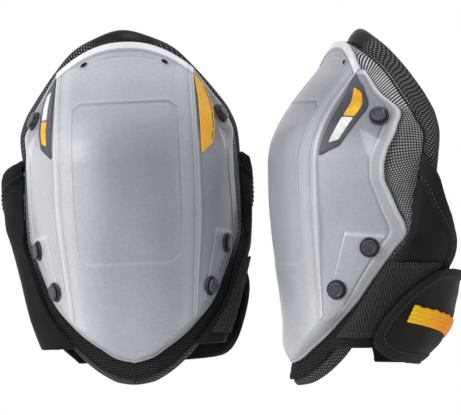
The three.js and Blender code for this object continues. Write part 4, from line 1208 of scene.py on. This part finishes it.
def add_loop(pad):
    A, Bq = np.meshgrid(np.linspace(0, 1, 56), np.linspace(0, 1, 44), indexing="ij")
    T = np.where(A < 0.3, lerp(-0.85, -0.02, A / 0.3), lerp(-0.02, 30, (A - 0.3) / 0.7))
    T = np.where((T < 0) & (A >= 0.3), 0, T)
    Z = lerp(33, 82, Bq) + 0.35 * np.sin(A * 19)
    edge = np.minimum(np.minimum(A, 1 - A) * 40, np.minimum(Bq, 1 - Bq) * 49)
    lift = WING_T + 0.8 + LOOP_T - 0.5 * np.exp(-((edge - 2.6) / 0.8) ** 2) + 0.12 * np.sin(0.5 * Z) * np.sin(A * 21)
    P, Q = leg(T, Z, lift), leg(T, Z, WING_T + 0.45)
    uv = np.stack([arc(P, 0), Z], -1).reshape(-1, 2)
    v, f, own = slab(P, Q, grid_faces(*T.shape), 0.7, 4)
    o = pad.make("loop_field", v, f, M["loop"], uv=uv[own], replaces=["loop_panel"], slot="loop")
    cloth(o, "stretched")
    k = 2.6 / 49
    rows = []
    for b in (k, 1 - k):
        a = np.linspace(0.07, 0.93, 60)
        t = np.where(a < 0.3, lerp(-0.85, -0.02, a / 0.3), np.maximum(lerp(-0.02, 30, (a - 0.3) / 0.7), 0))
        rows.append(leg(t, lerp(33, 82, b) + 0.35 * np.sin(a * 19), WING_T + LOOP_T + 0.62))
    return rows


def flap_lines(n, src=FLAP_OUT):
    """Lower and upper border of the flap, from the fold to the tip."""
    h = len(src) // 2
    s = np.linspace(0, 1, n) ** 0.8
    k = table(np.column_stack([np.arange(h), src[:h]]))
    j = table(np.column_stack([np.arange(h), src[:h - 1:-1]]))
    x = s * (h - 1)
    return np.stack([curve(k, x, 0), curve(k, x, 1)], -1), np.stack([curve(j, x, 0), curve(j, x, 1)], -1)


def add_strap(pad):
    # folds and soft waves in the band
    def wave(t, z):
        return 0.35 * np.sin(t * 0.23 + z * 0.05) * np.sin(z * 0.12 + 0.8) + 0.22 * np.sin(z * 0.41 + t * 0.11)

    mid = 46.0
    # sewn end to the middle of the band
    # past the seam the band narrows and lies on the far wing, where it is sewn down
    sewn = STRAP_END + 12
    taper = lambda t, z: lerp(z, 30 + (z - 18) * 0.72, np.clip((t - STRAP_END) / 12, 0, 1))
    T, Z = np.meshgrid(np.linspace(sewn, 102, 50), np.linspace(18.2, 74.8, 40), indexing="ij")
    Z = taper(T, Z)
    far = 4.0 if pad.name == "right" else 0.0
    low = lambda t: lerp(FLAP_IN, STRAP_SEW, np.clip((t - 78.9) / (STRAP_END - 78.9), 0, 1)) + far * smooth(112, 131, t) - 1.0 * smooth(138, 142, t)
    inn = np.clip((T - 102) / 6, 0, 1)
    P = leg(T, Z, low(T) + STRAP_T + wave(T, Z) * (1 - smooth(126, 131, T)))
    Q = leg(T, Z, low(T))
    uv = np.stack([arc(P, 0) + 60, Z], -1).reshape(-1, 2)
    v, f, own = slab(P, Q, grid_faces(*T.shape), 0.6, 4)
    o = pad.make("strap_band", v, f, M["flap"], body=None, uv=uv[own], replaces=["strap"], slot="neoprene")
    cloth(o, "hung")
    tops = []
    for name, z0, z1 in (("low", 16.4, 21), ("high", 71, 76.4)):
        TT, ZZ = np.meshgrid(np.linspace(sewn, 102, 54), np.linspace(z0, z1, 10), indexing="ij")
        ZZ = taper(TT, ZZ)
        cr = 0.35 + 0.5 * np.sin(np.pi * np.linspace(0, 1, 10))[None]
        Pb, Qb = leg(TT, ZZ, low(TT) + STRAP_T + cr), leg(TT, ZZ, low(TT) - 0.3)
        uvb = np.stack([arc(Pb, 0), ZZ], -1).reshape(-1, 2)
        vb, fb, ob = slab(Pb, Qb, grid_faces(*TT.shape), 0.8, 5)
        tops.append((name, pad.make(f"strap_tape_{name}", vb, fb, M["binding"], body=None, uv=uvb[ob], slot="binding")))
    w = lambda t, z=mid: Vector(pad.world(leg(t, z, 8.0))[0])
    for x in [o] + [b for _, b in tops]:
        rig.blend(x, "root", f"{pad.name}_strap_body", w(129.5), w(116))
    for _, b in tops:
        cloth(b, "folded")

    zz = np.linspace(33, 70, 60)
    stitches(pad, "strap_end_stitches", [leg(np.full(60, c), zz, low(np.full(60, c)) + STRAP_T + 0.15) for c in (135.0, 140.5)])

    # middle of the band, over the fold, to the flap's tip
    lo, hi = flap_lines(70)
    tb = np.linspace(102, 78.6, 22)[:-1]
    lo = np.concatenate([np.stack([tb, 0 * tb + 16], -1), lo])
    hi = np.concatenate([np.stack([tb, 0 * tb + 76], -1), hi])
    G = np.linspace(0.03, 0.97, 46)
    tip = np.linspace(0, 1, len(lo))[:, None]
    T = lo[:, 0:1] * (1 - G) + hi[:, 0:1] * G + 1.3 * smooth(0.86, 1, tip)
    Z = lo[:, 1:2] * (1 - G) + hi[:, 1:2] * G
    P = leg(T, Z, low(T) + STRAP_T + wave(T, Z))
    Q = leg(T, Z, low(T))
    uv = np.stack([arc(P, 0), Z], -1).reshape(-1, 2)
    v, f, own = slab(P, Q, grid_faces(*T.shape), 0.6, 4)
    o = pad.make("flap_band", v, f, M["flap"], body=None, uv=uv[own], replaces=["strap_flap"], slot="neoprene")
    cloth(o, "hung")
    # binding round the flap
    out, sew = FLAP_OUT.copy(), FLAP_SEW.copy()
    out = np.concatenate([[[102, 16], [90, 16]], out, [[90, 76], [102, 76]]])
    sew = np.concatenate([[[102, 21], [90, 21]], sew, [[90, 71], [102, 71]]])
    n = 230
    po, ps = path(out, n), path(sew, n)
    g = np.linspace(0, 1, 11)
    T = po[:, 0:1] * (1 - g) + ps[:, 0:1] * g
    Z = po[:, 1:2] * (1 - g) + ps[:, 1:2] * g
    cr = 0.35 + 0.55 * np.sin(np.pi * g)[None] ** 0.8
    P = leg(T, Z, low(T) + STRAP_T + cr)
    Q = leg(T, Z, low(T) - 0.3)
    run = arc(P[:, 5], 0)
    uv = np.stack([np.repeat(run[:, None], 11, 1), np.repeat(5 * g[None], n, 0)], -1).reshape(-1, 2)
    v, f, own = slab(P, Q, grid_faces(n, 11), 0.8, 5)
    o2 = pad.make("flap_tape", v, f, M["binding"], body=None, uv=uv[own], replaces=["flap_binding"], slot="binding")
    cloth(o2, "folded")
    ln = lerp(po, ps, 0.8)
    st = stitches(pad, "flap_stitches", [leg(ln[:, 0], ln[:, 1], low(ln[:, 0]) + STRAP_T + 0.75)], body=None)
    for x in (o, o2, st):
        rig.blend(x, f"{pad.name}_strap_body", f"{pad.name}_flap_body", w(86), w(72))

    # hook patch inside the flap
    A, Bq = np.meshgrid(np.linspace(0, 1, 30), np.linspace(0, 1, 30), indexing="ij")
    T = lerp(16, 44, A)
    Z = lerp(lerp(32, 27, A), lerp(52, 62, np.minimum(1, 2 * A)), Bq)
    P, Q = leg(T, Z, HOOK_IN + HOOK_T), leg(T, Z, HOOK_IN)
    uv = np.stack([arc(P, 0), Z], -1).reshape(-1, 2)
    v, f, own = slab(P, Q, grid_faces(*T.shape), 0.6, 4)
    o = pad.make("hook_field", v, f, M["hook"], body="flap_body", uv=uv[own], replaces=["hook_patch"], slot="hook")
    cloth(o, "laid", rests_on=[f"{pad.name}_flap_band"])
    # pull tab
    A, Bq = np.meshgrid(np.linspace(0, 1, 110), np.linspace(0, 1, 18), indexing="ij")
    T = lerp(20, 76.6, A)
    wob = 0.35 * np.sin(A * 44) + 0.2 * np.sin(A * 23 + 1)
    Z = 48 - (T - 23) * 0.2 + lerp(-5.2, 5.2 + wob, Bq)
    base = FLAP_IN + STRAP_T + 0.35
    top = base + TAB_T * (0.55 + 0.45 * (np.sin(np.pi * Bq) ** 0.4)) + 0.28 * np.sin(A * 44) * np.sin(np.pi * Bq)
    P, Q = leg(T, Z, top), leg(T, Z, base - 0.2)
    uv = np.stack([arc(P, 0), Bq * 10.4], -1).reshape(-1, 2)
    v, f, own = slab(P, Q, grid_faces(*T.shape), 0.7, 4)
    o = pad.make("tab_webbing", v, f, M["webbing"], body="flap_body", uv=uv[own], replaces=["pull_tab"], slot="webbing")
    cloth(o, "laid", rests_on=[f"{pad.name}_flap_band"])


# ----------------------------------------------------------- inside of the pad
def dome(u, v):
    return np.maximum(0, 1 - (np.abs(u) / 0.92) ** 3) * np.maximum(0, 1 - np.abs((v - 0.52) / 0.4) ** 3)


def add_inside(pad):
    us = np.linspace(-1, 1, 81)
    qs = np.linspace(0.1, 1, 91)
    ss = np.array([0.08, 0.16, 0.24, 0.32, 0.4, 0.48, 0.56, 0.63, 0.67, 0.74, 0.82, 0.9, 0.96, 1.0])
    p, quads, info = shell_sheet(us, qs, ss)
    kind, u, q, s, sg = info.T
    outer = sunk(p, SHELL_T + GAP + smooth(0.56, 0.67, s) * (GAP + COVER_T))
    inner = sunk(p, FOAM_BACK)
    v, f, own = slab(outer, inner, quads, 0.5, 4)
    o = pad.make("foam_cup", v, f, M["foam"], uv=np.stack([p[:, 0], p[:, 2]], -1)[own], replaces=["foam_core"], slot="foam")
    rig.padded(o, 1.0)
    # gel insert
    U, Vv = np.meshgrid(np.linspace(-0.8, 0.8, 40), np.linspace(0.2, 0.84, 60), indexing="ij")
    g = face(U, Vv)
    P, Q = sunk(g, FOAM_BACK + 2.0 + 0 * U), sunk(g, FOAM_BACK + 2.4 + (GEL_T - 0.6) * dome(U, Vv))
    v, f, own = slab(P, Q, grid_faces(40, 60), 0.7, 4)
    o = pad.make("gel_cushion", v, f, M["gel"], uv=np.stack([g[..., 0], g[..., 2]], -1).reshape(-1, 2)[own], replaces=["gel_insert"], slot="gel")
    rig.padded(o, 0.9)
    # quilted liner: puffed fields between sewn channels
    lift = np.where(kind == 0, dome(u, 1 - q) * (GEL_T - 0.5), 0)
    chan = np.zeros(len(p))
    for zc in (66, 96, 126, 156, 186):
        chan = np.maximum(chan, band(p[:, 2] - 0.0035 * p[:, 0] ** 2, zc, 1.5))
    chan = np.maximum(chan, np.where(kind == 0, band(np.abs(u), 0.97, 0.03), band(s, 0.02, 0.06)))
    near = FOAM_BACK + 4.6 + lift
    P, Q = sunk(p, near), sunk(p, near + LINER_T - 1.5 * chan)
    v, f, own = slab(P, Q, quads, 0.7, 4)
    o = pad.make("liner_quilt", v, f, M["liner"], uv=np.stack([p[:, 0] + 40 * s * sg, p[:, 2]], -1)[own], replaces=["inner_liner"], slot="liner")
    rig.padded(o, 0.7)


for side_name in ("right", "left"):
    pad = Pad(side_name)
    add_shell(pad)
    add_vents(pad)
    add_labels(pad)
    add_rivets(pad)
    add_rim(pad)
    rows = add_wing(pad, "wing_near", 1) + add_wing(pad, "wing_far", -1)
    rows += add_loop(pad)
    stitches(pad, "wing_stitches", rows)
    add_strap(pad)
    add_inside(pad)


# -------------------------------------------------------------------- studio
def area_light(name, at, size, power, target=(0, 0, 0.11)):
    d = bpy.data.lights.new(name, "AREA")
    d.shape = "RECTANGLE"
    d.size, d.size_y = size
    d.energy = power
    o = bpy.data.objects.new(name, d)
    bpy.context.scene.collection.objects.link(o)
    o.location = at
    o.rotation_euler = (Vector(target) - Vector(at)).to_track_quat("-Z", "Y").to_euler()
    return o


world = bpy.data.worlds.new("studio")
bpy.context.scene.world = world
world.use_nodes = True
wt = world.node_tree
wt.nodes["Background"].inputs[0].default_value = (1, 1, 1, 1)


def wmath(op, a, b=0.0, c=0.0, clamp=False):
    n = wt.nodes.new("ShaderNodeMath")
    n.operation, n.use_clamp = op, clamp
    for sock, v in zip(n.inputs, (a, b, c)):
        if isinstance(v, bpy.types.NodeSocket):
            wt.links.new(v, sock)
        else:
            sock.default_value = v
    return n.outputs[0]


# a white sweep behind the pads, a bright wall on the left and a dimmer room elsewhere
tc = wt.nodes.new("ShaderNodeTexCoord")
sp = wt.nodes.new("ShaderNodeSeparateXYZ")
wt.links.new(tc.outputs["Generated"], sp.inputs[0])
left = wmath("MULTIPLY", sp.outputs[0], -1.2, clamp=True)
up = wmath("MULTIPLY", sp.outputs[2], 1.0, clamp=True)
level = wmath("ADD", wmath("MULTIPLY_ADD", left, 0.34, 0.40), wmath("MULTIPLY", up, 0.22))
back = wmath("MULTIPLY", wmath("SUBTRACT", sp.outputs[1], 0.55), 4.0, clamp=True)
level = wmath("ADD", level, wmath("MULTIPLY", back, 0.75))
level = wmath("MINIMUM", level, 1.0)
wt.links.new(level, wt.nodes["Background"].inputs[1])

area_light("key", (-1.15, -0.95, 0.7), (0.6, 0.8), 12)
area_light("side_strip", (0.9, -0.9, 0.25), (0.2, 0.8), 2)
area_light("top", (0.1, -0.2, 1.2), (0.7, 0.4), 2.5)

me = bpy.data.meshes.new("floor")
fx, fy, fz, nseg = 0.5, 0.26, -0.072, 24
g = np.array([[lerp(-fx, fx, i / nseg), lerp(-fy, fy, j / nseg), fz] for i in range(nseg + 1) for j in range(nseg + 1)])
me.from_pydata(g.tolist(), [], [list(map(int, f)) for f in grid_faces(nseg + 1, nseg + 1)])
me.update()
floor = bpy.data.objects.new("floor", me)
bpy.context.scene.collection.objects.link(floor)
me.materials.append(M["floor"])
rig.stage(floor)

cam = bpy.data.cameras.new("camera")
cam.sensor_width = 36
DIST = 7.0
cam.lens = 36 * DIST / (461 * 0.00067)
cam_o = bpy.data.objects.new("camera", cam)
bpy.context.scene.collection.objects.link(cam_o)
cam_o.location = (0.02702687 - 44 * 0.00067, -DIST, (385 - 207.5) * 0.00067)
cam_o.rotation_euler = (math.radians(90), 0, 0)
bpy.context.scene.camera = cam_o
bpy.context.scene.view_settings.view_transform = "Standard"

with open("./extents.json", "w") as fh:
    json.dump({"cad": CAD_BOX, "visual": plain(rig.bounds())}, fh)
